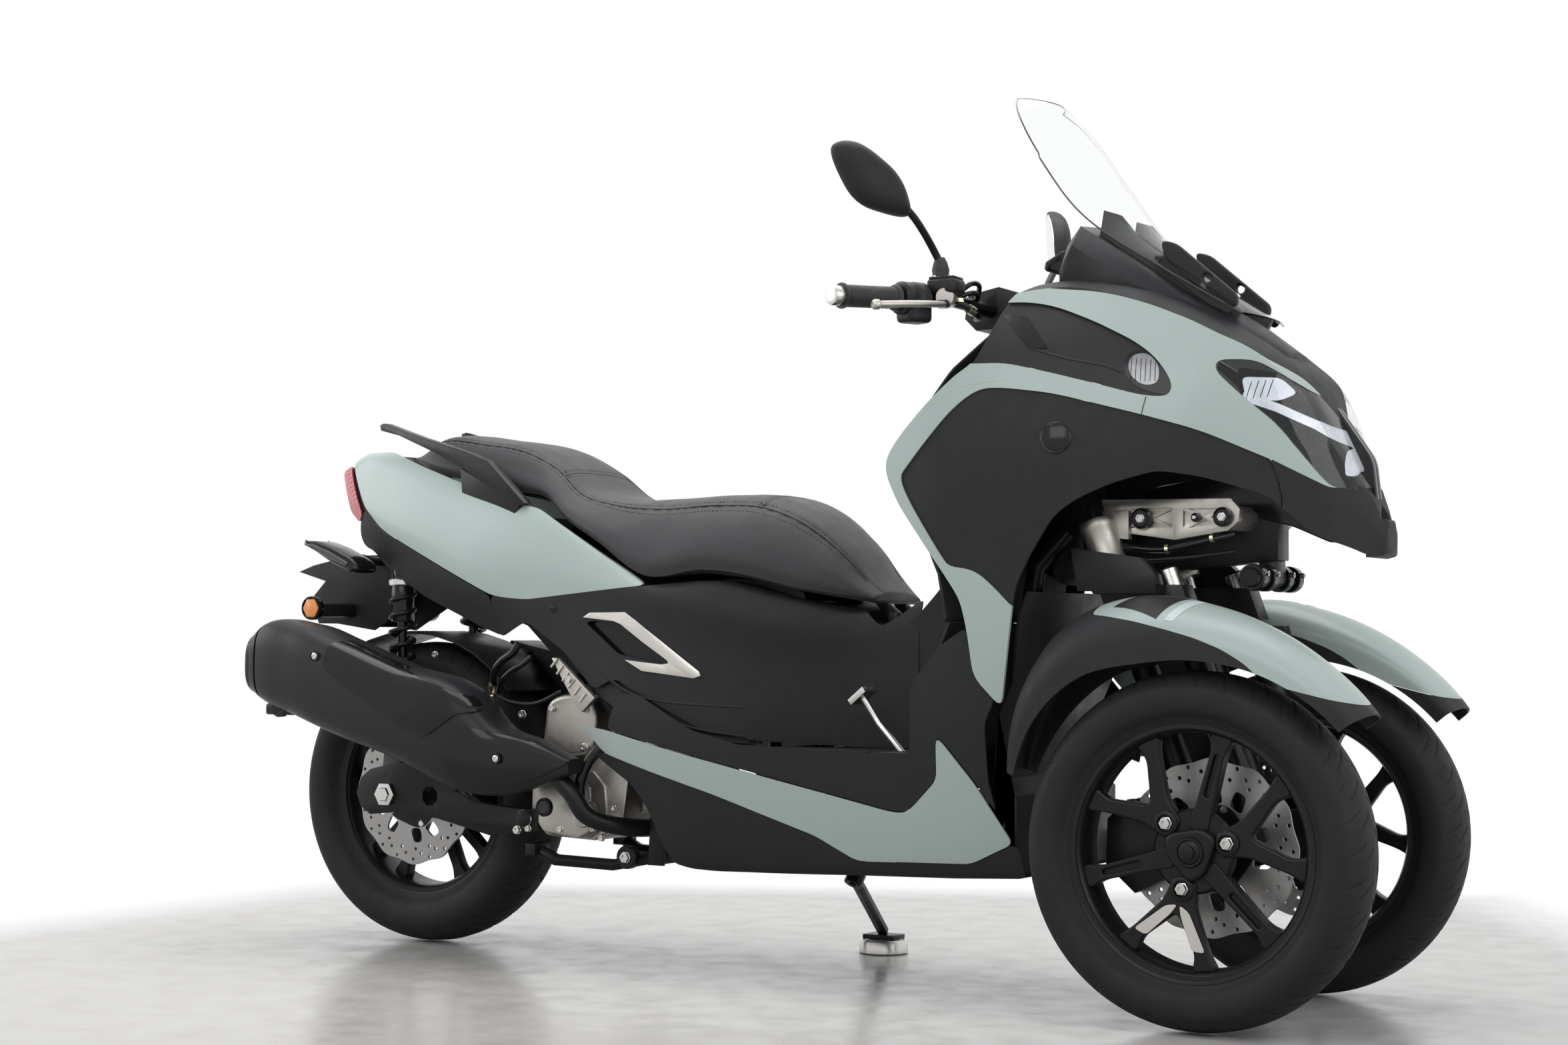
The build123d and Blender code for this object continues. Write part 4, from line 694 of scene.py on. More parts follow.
def add_floor():
    """Pale glossy floor that fades to white some way behind the vehicle."""
    mat = bpy.data.materials.new("studio_floor")
    mat.use_nodes = True
    tree = mat.node_tree
    shader = tree.nodes["Principled BSDF"]
    soft = noise(tree, 1.3, 4.0)
    fine = noise(tree, 14, 6.0)
    mix = tree.nodes.new("ShaderNodeMix")
    mix.data_type = "RGBA"
    mix.inputs[6].default_value, mix.inputs[7].default_value = FLOOR_TONES
    tree.links.new(soft.outputs[0], mix.inputs[0])
    tree.links.new(mix.outputs[2], shader.inputs["Base Color"])
    tree.links.new(spread(tree, fine.outputs[0], 0.14, 0.3), shader.inputs["Roughness"])
    shader.inputs["Specular IOR Level"].default_value = 0.16
    white = tree.nodes.new("ShaderNodeEmission")
    white.inputs["Color"].default_value = (1, 1, 1, 1)
    white.inputs["Strength"].default_value = 1.0
    coord = tree.nodes.new("ShaderNodeTexCoord")
    beyond = None
    for across, along, reach in FLOOR_SIDES:
        dot = tree.nodes.new("ShaderNodeVectorMath")
        dot.operation = "DOT_PRODUCT"
        dot.inputs[1].default_value = (across / reach, along / reach, 0)
        tree.links.new(coord.outputs["Object"], dot.inputs[0])
        if beyond is None:
            beyond = dot.outputs["Value"]
            continue
        widest = tree.nodes.new("ShaderNodeMath")
        widest.operation = "MAXIMUM"
        tree.links.new(beyond, widest.inputs[0])
        tree.links.new(dot.outputs["Value"], widest.inputs[1])
        beyond = widest.outputs[0]
    edge = spread(tree, beyond, 0, 1, *FLOOR_FADE)
    blend = tree.nodes.new("ShaderNodeMixShader")
    tree.links.new(edge, blend.inputs[0])
    tree.links.new(shader.outputs[0], blend.inputs[1])
    tree.links.new(white.outputs[0], blend.inputs[2])
    tree.links.new(blend.outputs[0], tree.nodes["Material Output"].inputs[0])
    verts, faces = [(0, 0, 0)], []
    rings, sides = (1.0, 2.0, 4.0, 12.0), 64
    for radius in rings:
        verts += [(radius * math.cos(2 * math.pi * n / sides), radius * math.sin(2 * math.pi * n / sides), 0)
                  for n in range(sides)]
    faces += [(0, 1 + n, 1 + (n + 1) % sides) for n in range(sides)]
    for k in range(len(rings) - 1):
        a, b = 1 + k * sides, 1 + (k + 1) * sides
        faces += [(a + n, b + n, b + (n + 1) % sides, a + (n + 1) % sides) for n in range(sides)]
    floor = mesh_object(verts, faces, mat, "floor")
    floor.location.z = -0.0006


add_camera()
add_world()
area_light("top", (-0.3, 0.3, 3.2), (0.0, 0.0, 0.4), 3.4, 75, 2.4)
area_light("side", (0.6, -3.4, 2.4), (0.0, 0.0, 0.5), 2.6, 34, 1.8)
area_light("front", (3.4, -0.8, 1.7), (0.2, 0.0, 0.6), 2.2, 26, 1.6)
area_light("rear", (-3.2, -1.2, 1.8), (-0.4, 0.0, 0.6), 2.2, 34, 1.8)
add_floor()
bpy.context.scene.view_settings.view_transform = "Standard"


# Front body: one smooth form, cut into its panels

# x, half width, half width and height of the shoulder, height of the middle, lower edge
FRONT_STATIONS = [
    (1080, 256, 205, 1060, 1078, 440), (1170, 270, 203, 1085, 1105, 440), (1265, 267, 194, 1098, 1125, 440),
    (1352, 257, 176, 1108, 1134, 470), (1449, 238, 171, 1088, 1118, 520), (1524, 218, 165, 1061, 1090, 580),
    (1592, 192, 158, 1027, 1052, 620), (1656, 160, 142, 990, 1006, 650), (1708, 130, 116, 938, 958, 670),
    (1752, 98, 84, 850, 872, 685), (1804, 34, 26, 742, 760, 694),
]
WAIST_Z = 880.0
FRONT_OUTLINE = [
    (1241, 509), (1231, 581), (1221, 625), (1199, 658), (1153, 720), (1111, 775), (1087, 821), (1087, 848),
    (1110, 879), (1159, 929), (1205, 972), (1232, 990), (1265, 1085), (1315, 1140), (1391, 1160), (1524, 1130),
    (1656, 1050), (1734, 960), (1756, 830), (1791, 783), (1802, 747), (1804, 701), (1789, 694), (1772, 705),
    (1729, 723), (1667, 783), (1583, 809), (1521, 819), (1457, 801), (1406, 779), (1369, 753), (1330, 690),
    (1308, 644), (1296, 548), (1286, 462),
]
SIGNAL_AREA = [
    (1190, 990), (1286, 988), (1360, 970), (1434, 950), (1497, 932), (1531, 929), (1540, 938), (1537, 956),
    (1513, 989), (1479, 1015), (1415, 1048), (1350, 1075), (1305, 1085), (1230, 1087),
]
HEADLIGHT_AREA = [
    (1599, 985), (1650, 984), (1694, 956), (1760, 900), (1790, 792), (1750, 792), (1718, 836), (1681, 888),
    (1632, 933), (1596, 969),
]
SIDE_AREA = [
    (1128, 833), (1113, 817), (1128, 785), (1192, 689), (1203, 677), (1239, 673), (1264, 657), (1320, 600),
    (1420, 650), (1600, 700), (1682, 700), (1688, 784), (1676, 827), (1673, 835), (1666, 838), (1583, 877),
    (1500, 902), (1364, 938),
    (1282, 949), (1245, 948), (1206, 920),
]
NOSE_AREA = [(1676, 827), (1674, 835), (1681, 831), (1750, 792), (1790, 800), (1840, 760), (1840, 640), (1683, 640),
             (1689, 784)]
FOREHEAD_PLAN = [
    (1200, 200), (1315, 181), (1391, 174), (1449, 171), (1524, 165), (1592, 158), (1656, 141), (1690, 108),
    (1715, 66), (1745, 0),
]


def front_section(x, inset):
    half, shoulder, shoulder_z, top_z, low_z = hermite(FRONT_STATIONS, x)
    waist = min(WAIST_Z, (shoulder_z * 2 + low_z) / 3)
    top = catmull([(0, top_z, 0), (shoulder * 0.72, top_z - (top_z - shoulder_z) * 0.35, 0),
                   (shoulder, shoulder_z, 0)], 6)
    side = catmull([(shoulder, shoulder_z, 0), (shoulder + (half - shoulder) * 0.72, (shoulder_z + waist) / 2, 0),
                    (half, waist, 0), (half * 0.99, (waist + low_z) / 2, 0), (half * 0.96, low_z, 0)], 11)
    line = [(max(p.x, 0.0), p.y) for p in top[:-1] + side]
    return moved_in(line, inset) if inset else line


def form_shell(section, xs, inset, mat, thick=SKIN, whole=True):
    """Shell of the body form: outer skin inset by inset, and thick mm thick."""
    sections = [section(x, inset) for x in xs]
    count = len(sections[0])
    verts = []
    for x, line in zip(xs, sections):
        if whole:
            verts += [row(x, y, z) for y, z in reversed(line[1:])]
        verts += [row(x, -y, z) for y, z in line]
    wide = 2 * count - 1 if whole else count
    obj = mesh_object(verts, grid_faces(len(xs), wide), mat)
    bm = bmesh.new()
    bm.from_mesh(obj.data)
    bmesh.ops.remove_doubles(bm, verts=bm.verts, dist=1e-6)
    middle = Vector(row((xs[0] + xs[-1]) / 2, 0, sections[0][-1][1] + 120))
    facing = sum((f.calc_center_median() - middle).dot(f.normal) for f in bm.faces)
    if facing < 0:
        bmesh.ops.reverse_faces(bm, faces=bm.faces)
    bm.to_mesh(obj.data)
    bm.free()
    return modified(obj, "SOLIDIFY", thickness=thick / 1000, offset=-1, use_even_offset=True)


def cut(shell, keep, *drops):
    """Keeps the part of a shell inside the side-view outline keep and outside the drops."""
    obj = boolean(shell, prism(keep, -420, -0.0), "INTERSECT")
    for area in drops:
        obj = boolean(obj, prism(area, -430, 10), "DIFFERENCE")
    return obj


REFLECTOR_AREA = [(1632, 958), (1682, 957), (1704, 934), (1682, 922), (1640, 924)]
DAY_STRIP_AREA = [
    (1636, 936), (1682, 918), (1732, 892), (1766, 866), (1772, 812), (1763, 812), (1757, 858), (1726, 881),
    (1678, 906), (1636, 922),
]
BEZEL_AREA = [(1598, 972), (1632, 938), (1630, 926), (1682, 884), (1716, 842), (1716, 826), (1600, 940)]
BLINKER_AREA = [(1473, 981), (1479, 995), (1500, 997), (1519, 977), (1520, 949), (1499, 946), (1479, 961)]
BULGE_AREA = [
    (1466, 984), (1474, 1001), (1503, 1003), (1526, 980), (1541, 942), (1538, 930), (1500, 939), (1474, 956),
]
SMOKED_AREA = [(1264, 1066), (1303, 1063), (1348, 1009), (1318, 1010)]
SEAM_AREA = [(1660, 690), (1700, 690), (1696, 784), (1684, 828), (1676, 831), (1670, 830), (1682, 784)]
SHADE_SHEET_AREA = [
    # Outline of a dark sheet inside the cowl: painted shade for the shaded inside of the fairing.
    (1330, 700), (1366, 762), (1440, 806), (1540, 820), (1640, 800), (1700, 770), (1740, 730), (1730, 712), (1660, 742),
    (1600, 756), (1480, 752), (1400, 720),
]
EMBLEM_POINTS = ((1373, 870), (1383, 870), (1373, 880))
TIP_RINGS = ((1786, 0.98), (1803, 0.99), (1807, 0.95), (1809.5, 0.84), (1810.5, 0.6), (1811, 0.2))
TIP_TOP, TIP_MIDDLE = 750, 724
FRONT_XS = list(np.linspace(1080, 1804, 110))
SIGNAL = rounded(SIGNAL_AREA, 22)
HEADLAMP = rounded(HEADLIGHT_AREA, 18)
SIDE = rounded(SIDE_AREA, 30)
NOSE = rounded(NOSE_AREA, 10)
BROW = rounded(FOREHEAD_PLAN + [(x, -y) for x, y in reversed(FOREHEAD_PLAN[:-1])], 20)
WHOLE_FRONT = rounded(FRONT_OUTLINE, 18)


def front_side(inset, mat, keep, *drops, thick=SKIN, under_brow=False):
    obj = cut(form_shell(front_section, FRONT_XS, inset, mat, thick, False), keep, *drops)
    if under_brow:
        return obj
    return boolean(obj, prism(grown(BROW, GAP / 2), 880, 1300, "z"), "DIFFERENCE")


def front_body():
    painted = front_side(0, paint, WHOLE_FRONT, grown(SIGNAL, GAP / 2), grown(HEADLAMP, GAP / 2),
                         grown(SIDE, GAP / 2), grown(NOSE, GAP / 2), SEAM_AREA, thick=SKIN + 2)
    panel("cowl_paint", painted, "paint_green", "cowl_frames")
    dark = boolean(front_side(3, plastic, SIDE), prism(WHOLE_FRONT, -430, 10), "INTERSECT")
    panel("cowl_dark", dark, "plastic_dark", "cowl_sides")
    signal = boolean(front_side(4, plastic_fine, SIGNAL), prism(WHOLE_FRONT, -430, 10), "INTERSECT")
    panel("signal_dark", signal, "plastic_dark", "signal_panels")
    nose = boolean(front_side(1, plastic, NOSE), prism(WHOLE_FRONT, -430, 10), "INTERSECT")
    rings = []
    for x, scale in TIP_RINGS:
        half = front_section(min(x, 1804), 1.5)
        levels = np.linspace(min(TIP_TOP, half[0][1]), half[-1][1], 16)
        widths = np.interp(levels, [z for _, z in reversed(half)], [y for y, _ in reversed(half)])
        ring = [(-y, z) for y, z in zip(widths, levels)] + [(y, z) for y, z in zip(widths[::-1], levels[::-1])]
        rings.append([(x, y * scale, TIP_MIDDLE + (z - TIP_MIDDLE) * scale) for y, z in ring])
    piece("nose_dark", both([shaded(nose, 30)]) + [skinned(rings, plastic)], "chassis", "plastic_dark", "nose")
    # Painted shade: a gloss black sheet across the middle, dark where the inside of the fairing lies in shade.
    piece("cowl_shade_sheet", [plate([rounded(SHADE_SHEET_AREA, 14)], -26, 26, gloss, 2)], "chassis", "plastic_dark")
    # Housing, reflector and day strip carry painted light: a glow standing in for the light the lens keeps out.
    housing = front_side(20, lamp_wall, grown(HEADLAMP, 3), thick=3, under_brow=True)
    lens = front_side(1, lens_clear, HEADLAMP, thick=2)
    reflector = front_side(4, lamp_insert_painted_glow, rounded(REFLECTOR_AREA, 9), thick=2, under_brow=True)
    strip = front_side(3.4, lamp_insert_painted_glow, rounded(DAY_STRIP_AREA, 4), thick=2, under_brow=True)
    bezel = front_side(3.8, plastic_fine, rounded(BEZEL_AREA, 10), thick=2, under_brow=True)
    ribs = [skin_line(front_section, [(1640 + 9 * n, 925 + n), (1646 + 9 * n, 951 + n)], 3.6, 0.6, gloss, 3)
            for n in range(4)]
    core = plate([rounded([(1570, 990), (1660, 972), (1722, 930), (1784, 840), (1792, 770), (1700, 740), (1560, 820)],
                          14)], -14, 0, gloss, 2)
    lamp = [shaded(o, 30) for o in (housing, reflector, strip, bezel)] + ribs + [core]
    piece("lamp_housing", both(lamp), "chassis", "plastic_gloss")
    panel("lamp_lens", lens, "clear_screen", "headlight")
    blinker = front_side(2, shell_grey, rounded(BLINKER_AREA, 12, 5), thick=3)
    bulge = front_side(3, gloss, rounded(BULGE_AREA, 12, 5), thick=3)
    smoked = front_side(2.6, gloss, rounded(SMOKED_AREA, 4), thick=3)
    lines = [skin_line(front_section, [(1480 + 7 * n, 953), (1478 + 7 * n, 990 - n)], 1.6, 0.5, gloss, 4)
             for n in range(6)]
    ridge = skin_line(front_section, [(1318, 1010), (1380, 991), (1442, 977), (1466, 967)], 5.2, 2.4, plastic_fine)
    seam = skin_line(front_section, [(1505, 929), (1502, 915), (1499, 900)], -0.1, 0.7, gloss, 4)
    beak = skin_line(front_section, [(1672, 834), (1683, 815), (1687, 786)], 0.9, 0.9, gloss, 4)
    brow_line = skin_line(front_section, [(1110, 872), (1162, 921), (1208, 950), (1290, 962)], 1.2, 1.6, paint)
    marks = [shaded(o, 30) for o in (blinker, bulge, smoked)] + lines + [ridge, seam, beak, brow_line]
    piece("front_details", both(marks), "chassis", "plastic_gloss")
    at, ahead, above = (Vector(on_skin(front_section, x, z, 3)) for x, z in EMBLEM_POINTS)
    out = (ahead - at).cross(above - at).normalized()
    out = out if out.y < 0 else -out
    disc = turned([(0, -4), (24, -4), (24, 1.6), (23, 2.4), (21.5, 2), (20, 3), (0, 3)], at, at + out, gloss, 64)
    piece("emblem_disc", both([disc]), "chassis", "plastic_gloss")
    brow = form_shell(front_section, FRONT_XS, 0, plastic)
    brow = boolean(brow, prism(BROW, 880, 1300, "z"), "INTERSECT")
    brow = boolean(brow, prism(WHOLE_FRONT, -430, 430), "INTERSECT")
    piece("forehead_dark", [shaded(brow, 30)], "chassis", "plastic_dark", "forehead")


front_body()


# Rear body

REAR_STATIONS = [
    (-170, 60, 880, 84, 858, 84, 790, 70, 740, 58, 716), (-100, 78, 902, 102, 885, 120, 800, 104, 745, 80, 705),
    (0, 96, 900, 122, 880, 156, 772, 140, 705, 120, 664), (195, 122, 850, 152, 826, 186, 730, 186, 655, 160, 590),
    (350, 136, 806, 166, 788, 196, 710, 198, 628, 186, 540), (480, 140, 730, 180, 716, 200, 668, 202, 610, 205, 478),
    (600, 140, 668, 184, 655, 200, 640, 200, 570, 216, 420), (720, 140, 664, 172, 655, 190, 620, 186, 540, 196, 396),
    (850, 116, 632, 138, 625, 150, 590, 142, 520, 140, 388), (960, 80, 612, 96, 604, 104, 580, 104, 520, 106, 388),
    (1070, 64, 640, 78, 632, 92, 600, 96, 520, 98, 388),
]
TAIL_AREA = [
    (-141, 901), (-34, 901), (195, 827), (265, 801), (349, 788), (595, 651), (349, 627), (294, 631), (267, 636),
    (-15, 757), (-69, 799), (-136, 893),
]
TAIL_LIGHT_AREA = [(-164, 876), (-137, 879), (-78, 786), (-92, 770), (-121, 792)]
UNDER_TAIL_AREA = [
    (-70, 796), (-15, 755), (266, 634), (276, 554), (251, 571), (78, 634), (-39, 692), (-68, 719), (-98, 726),
    (-104, 745), (-93, 769),
]
SIDE_COVER_AREA = [
    (267, 636), (294, 631), (349, 627), (595, 651), (627, 655), (698, 660), (736, 659), (790, 646), (855, 628),
    (895, 620), (960, 612), (988, 585), (1004, 590), (1032, 608), (1062, 633), (1062, 387), (966, 387), (797, 395),
    (709, 413), (544, 495), (500, 474), (430, 540), (345, 590), (276, 560),
]
LAMP_BACK_AREA = [(-154, 872), (-120, 886), (-60, 870), (-52, 800), (-84, 778), (-112, 790)]
TUNNEL_AREA = [
    (1013, 598), (1018, 582), (1033, 587), (1064, 609), (1089, 635), (1109, 658), (1130, 624), (1141, 589), (1143, 571),
    (1120, 559), (1106, 546), (1056, 492), (1049, 478), (1040, 480),
]
FLOOR_LINER_AREA = [(490, 380), (800, 380), (800, 520), (490, 520)]
STRIPS = (
    ([(600, 610), (600, 655), (700, 664), (760, 662), (800, 655), (850, 640), (850, 600)], -102, -98),
    ([(530, 420), (560, 470), (709, 420), (790, 402), (790, 376), (709, 392)], -162, -158),
    ([(940, 560), (946, 600), (985, 580), (1020, 590), (1020, 560)], -62, -2),
)
RECESS_AREA = [(479, 588), (548, 536), (634, 520), (642, 526), (566, 586), (491, 591)]
REAR_XS = list(np.linspace(-170, 1070, 150))


def rear_section(x, inset):
    values = hermite(REAR_STATIONS, x)
    pairs = list(zip(values[0::2], values[1::2]))
    line = catmull([(0, pairs[0][1] + 2, 0), (pairs[0][0], pairs[0][1], 0)], 3)[:-1]
    line += catmull([(y, z, 0) for y, z in pairs], 8)
    return moved_in([(p.x, p.y) for p in line], inset)


def rear_body():
    for name, mat, area, slot, node, inset in (
            ("tail_paint", paint, TAIL_AREA, "paint_green", "tail_panels", 0),
            ("tail_dark", plastic, UNDER_TAIL_AREA, "plastic_dark", "tail_under_cover", 2),
            ("tail_lamp", red_lens, TAIL_LIGHT_AREA, "lens_red", "tail_light", 0),
            ("side_cover_dark", plastic, SIDE_COVER_AREA, "plastic_dark", "side_covers", 0)):
        reach = 8 if node == "tail_light" else 16
        shape = cut(form_shell(rear_section, REAR_XS, inset, mat, SKIN, False), grown(rounded(area, reach), -GAP / 2))
        extra = []
        if node == "side_covers":
            shape = boolean(shape, prism(rounded(RECESS_AREA, 8), -430, 10), "DIFFERENCE")
            back = cut(form_shell(rear_section, REAR_XS, 12, gloss, 2, False), grown(rounded(RECESS_AREA, 8), 8))
            crease = skin_line(rear_section, [(355, 625), (440, 560), (532, 494), (572, 472), (635, 458), (776, 450)],
                               2.2, 3.0, plastic)
            lower = skin_line(rear_section, [(660, 424), (710, 412), (781, 402)], 1.8, 2.6, plastic)
            extra = [shaded(back, 30), crease, lower] + screw(*on_skin(rear_section, 411, 612), 5, -1, gloss)
        if node == "tail_light":
            extra = [skin_line(rear_section, [(-152 + 6 * n, 868 - 8 * n), (-140 + 6 * n, 872 - 8 * n)], 0, 0.8,
                               red_lens, 3) for n in range(9)]
        piece(name, both([shaded(shape, 30)] + extra), "chassis", slot, node)
    lamp_back = cut(form_shell(rear_section, REAR_XS, 6, plastic_fine, 3, False), rounded(LAMP_BACK_AREA, 10))
    panel("tail_liner", lamp_back, "plastic_dark")
    floor = form_shell(rear_section, REAR_XS, 9, plastic_fine, 3, False)
    floor = boolean(floor, prism(FLOOR_LINER_AREA, -420, -62), "INTERSECT")
    panel("floor_liner", floor, "plastic_dark")
    strips = [plate([rounded(area, 4)], low, high, plastic_fine, 1) for area, low, high in STRIPS]
    piece("gap_strips", both(strips), "chassis", "plastic_dark")
    fairing = plate([rounded(TUNNEL_AREA, 8)], -95, -91, plastic, 1)
    piece("tunnel_fairing", both([fairing]), "chassis", "plastic_dark")


rear_body()


# Lower body

def lower_row(x, half_top, half_mid, half_low, top, low):
    middle = (top + low) / 2
    return (x, half_top, top, half_mid, middle + 30, half_low, low + 14, half_low - 16, low)


LOWER_STATIONS = [
    lower_row(470, 212, 214, 150, 500, 300), lower_row(600, 222, 224, 172, 520, 200),
    lower_row(800, 226, 228, 182, 560, 178), lower_row(1000, 228, 230, 186, 600, 184),
    lower_row(1170, 244, 240, 190, 620, 190), lower_row(1300, 252, 246, 196, 660, 196),
]
SKIRT_AREA = [
    (476, 416), (536, 408), (716, 368), (1066, 296), (1095, 293), (1112, 301), (1162, 348), (1165, 410), (1173, 410),
    (1229, 343), (1286, 254), (1207, 218), (1003, 212), (932, 249), (742, 309), (523, 369),
]
BELLY_AREA = [
    (492, 366), (523, 369), (742, 309), (932, 249), (1003, 212), (1207, 218), (1286, 254), (1296, 240), (1296, 199),
    (1168, 192), (995, 187), (912, 184), (727, 178), (640, 180), (625, 221), (605, 279), (578, 316),
]
FLOOR_EDGE_AREA = [
    (536, 409), (560, 470), (600, 470), (709, 413), (797, 392), (966, 386), (1117, 386), (1122, 494), (1173, 555),
    (1222, 585), (1240, 509), (1268, 478), (1268, 470), (1251, 440), (1251, 346), (1262, 300), (1230, 344),
    (1174, 411), (1164, 411), (1161, 349), (1112, 302), (1095, 294), (1066, 297), (716, 369),
]
LOWER_XS = list(np.linspace(470, 1300, 110))


def lower_section(x, inset):
    values = hermite(LOWER_STATIONS, x)
    pairs = list(zip(values[0::2], values[1::2]))
    line = [(0, pairs[0][1])] + [(p.x, p.y) for p in catmull([(y, z, 0) for y, z in pairs], 8)]
    line.append((0, pairs[-1][1]))
    return moved_in(line, inset)


def lower_body():
    for name, mat, area, slot, node, inset in (
            ("skirt_paint", paint, SKIRT_AREA, "paint_green", "skirts", -1.5),
            ("belly_dark", plastic, BELLY_AREA, "plastic_dark", "belly_pan", 1),
            ("floor_side_dark", plastic, FLOOR_EDGE_AREA, "plastic_dark", "floor_sides", 0.5)):
        shell = form_shell(lower_section, LOWER_XS, inset, mat, SKIN, False)
        shape = cut(shell, grown(rounded(area, 14), -GAP / 2))
        piece(name, both([shaded(shape, 30)]), "chassis", slot, node)


lower_body()


# Windscreen and its brackets

SCREEN_STATIONS = [
    (1062, 1622, 92, 14), (1125, 1532, 132, 22), (1205, 1426, 172, 30), (1300, 1354, 182, 34), (1380, 1300, 168, 30),
    (1431, 1262, 140, 24),
]
SCREEN_SHOULDER_Z = 1320
SCREEN_TOP_HALF, SCREEN_CORNER = 70, 102


def windscreen():
    """Clear curved sheet, thin at its rounded edge."""
    rows, cols = 40, 36
    verts = []
    low, high = SCREEN_STATIONS[0][0], SCREEN_STATIONS[-1][0]
    for i in range(rows + 1):
        z = low + (high - low) * i / rows
        x, half, sag = hermite(SCREEN_STATIONS, z)
        if z > SCREEN_SHOULDER_Z:
            drop = (z - SCREEN_SHOULDER_Z) / (high - SCREEN_SHOULDER_Z)
            half = min(half, SCREEN_TOP_HALF + SCREEN_CORNER * math.sqrt(max(0.0, 1 - drop ** 2.6)))
        for k in range(cols + 1):
            share = 2 * k / cols - 1
            verts.append(row(x - sag * share ** 2, share * half, z))
    obj = mesh_object(verts, grid_faces(rows + 1, cols + 1), clear)
    obj = modified(obj, "SOLIDIFY", thickness=0.003, offset=0)
    piece("screen_clear", [shaded(obj, 40)], "chassis", "clear_screen", "windscreen")
    edge = [verts[i * (cols + 1)] for i in range(rows + 1)] + [verts[rows * (cols + 1) + k] for k in range(1, cols)]
    edge += [verts[i * (cols + 1) + cols] for i in range(rows, -1, -1)]
    line = [(v.x * 1000 + ORIGIN_X, v.y * 1000, v.z * 1000) for v in edge]
    piece("screen_edge", [tube(line, 1.3, smoke, 0, 2)], "chassis", "plastic_gloss")
    rail = plate([rounded([(1470, 1186), (1494, 1180), (1596, 1092), (1592, 1072), (1560, 1080), (1476, 1156)], 10),
                  [(1546 + 7 * math.cos(a * 0.5236), 1122 + 7 * math.sin(a * 0.5236)) for a in range(12)]],
                 -78, -66, plastic_fine, 3)
    slotted = plate([rounded([(1448, 1162), (1458, 1168), (1565, 1092), (1600, 1069), (1592, 1060), (1556, 1078)], 6),
                     rounded([(1476, 1146), (1482, 1149), (1540, 1107), (1534, 1103)], 3)], -103, -99, black_metal, 1)
    piece("screen_brackets", both([rail, slotted]), "chassis", "plastic_dark")


windscreen()


# Wheels

def tyre_mesh(radius, width, x, y, z, tread_turns, name, body, node):
    """Tyre with a round crown and slanted tread grooves cut into it."""
    half = width / 2
    side = [(178.5, half * 0.66, 0), (190.5, half * 0.68, 0), (radius - width * 0.47, half * 0.93, 0),
            (radius - width * 0.33, half, 0), (radius - width * 0.2, half * 0.955, 0),
            (radius - width * 0.085, half * 0.72, 0), (radius - width * 0.022, half * 0.38, 0), (radius, 0, 0)]
    line = catmull(side, 7)
    profile = [(p.x, -p.y) for p in line] + [(p.x, p.y) for p in reversed(line[:-1])]
    turns = 720
    rs = np.array([p[0] for p in profile])
    ys = np.array([p[1] for p in profile])
    angles = 2 * np.pi * np.arange(turns) / turns
    share = ys / half
    crown = (rs > radius - width * 0.3)
    grid_r = np.tile(rs, (turns, 1))
    phase = angles[:, None] * tread_turns / (2 * np.pi)
    lean = 0.95 * np.abs(share) ** 0.8
    shift = np.where(share > 0, 0.5, 0.0)
    cut_depth = np.zeros_like(grid_r)
    for low, high, offset, wide in ((0.06, 0.66, 0.0, 0.05), (0.46, 0.93, 0.5, 0.036)):
        wave = (phase + (lean + shift + offset)[None, :]) % 1.0
        along = np.clip((np.abs(share) - low) / (high - low), 0, 1)
        taper = np.sqrt(np.clip(4 * along * (1 - along), 0, 1))[None, :]
        groove = np.clip(1.9 * (1 - np.abs(wave - 0.5) / (wide * np.maximum(taper, 0.05))), 0, 1) * (taper > 0.05)
        cut_depth = np.maximum(cut_depth, groove)
    grid_r = grid_r - 2.8 * cut_depth * crown[None, :]
    xs = x + grid_r * np.cos(angles)[:, None]
    zs = z + grid_r * np.sin(angles)[:, None]
    count = len(profile)
    verts = [row(xs[n, k], y + ys[k], zs[n, k]) for n in range(turns) for k in range(count)]
    obj = faced_out(mesh_object(verts, grid_faces(turns, count, True, True), rubber))
    return piece(name, [shaded(obj, 60)], body, "tyre_rubber", node)


def wheel_point(r, turn):
    a = math.radians(turn)
    return (r * math.cos(a), r * math.sin(a))


def rim_shell(half, x, y, z, mat):
    """Rim barrel with rolled lips."""
    lip = 189.6
    outside = [(172, 0), (172, half - 16), (176, half - 9), (181, half - 5), (186, half - 1.5), (lip, half - 1),
               (lip, half - 3.5), (186, half - 5.5), (178, half - 7), (177.6, half - 12), (177.6, 0)]
    profile = [(r, -d) for r, d in reversed(outside[1:-1])]
    inner = [(r, d) for r, d in outside[:6]]
    outer = [(r, d) for r, d in outside[6:]]
    loop = inner + outer + [(r, -d) for r, d in reversed(outer[:-1])] + [(r, -d) for r, d in reversed(inner[1:])]
    return lathe(loop, x, y, z, mat, 144)


def wishbone(turn, root_r, root, waist_r, waist, spread, width, apex_r, rim_r=175):
    """Outline of a forked spoke: one root near the hub, two arms that part and run to the rim."""
    arm = [(root_r, root), (waist_r, waist), (rim_r - 26, spread + width * 0.8), (rim_r, spread + width * 1.5),
           (rim_r, spread - width * 1.4), (rim_r - 26, spread - width * 1.0), (apex_r + 18, waist * 0.42)]
    right = [wheel_point(r, turn - a) for r, a in arm]
    left = [wheel_point(r, turn + a) for r, a in reversed(arm)]
    return right + [wheel_point(apex_r, turn)] + left


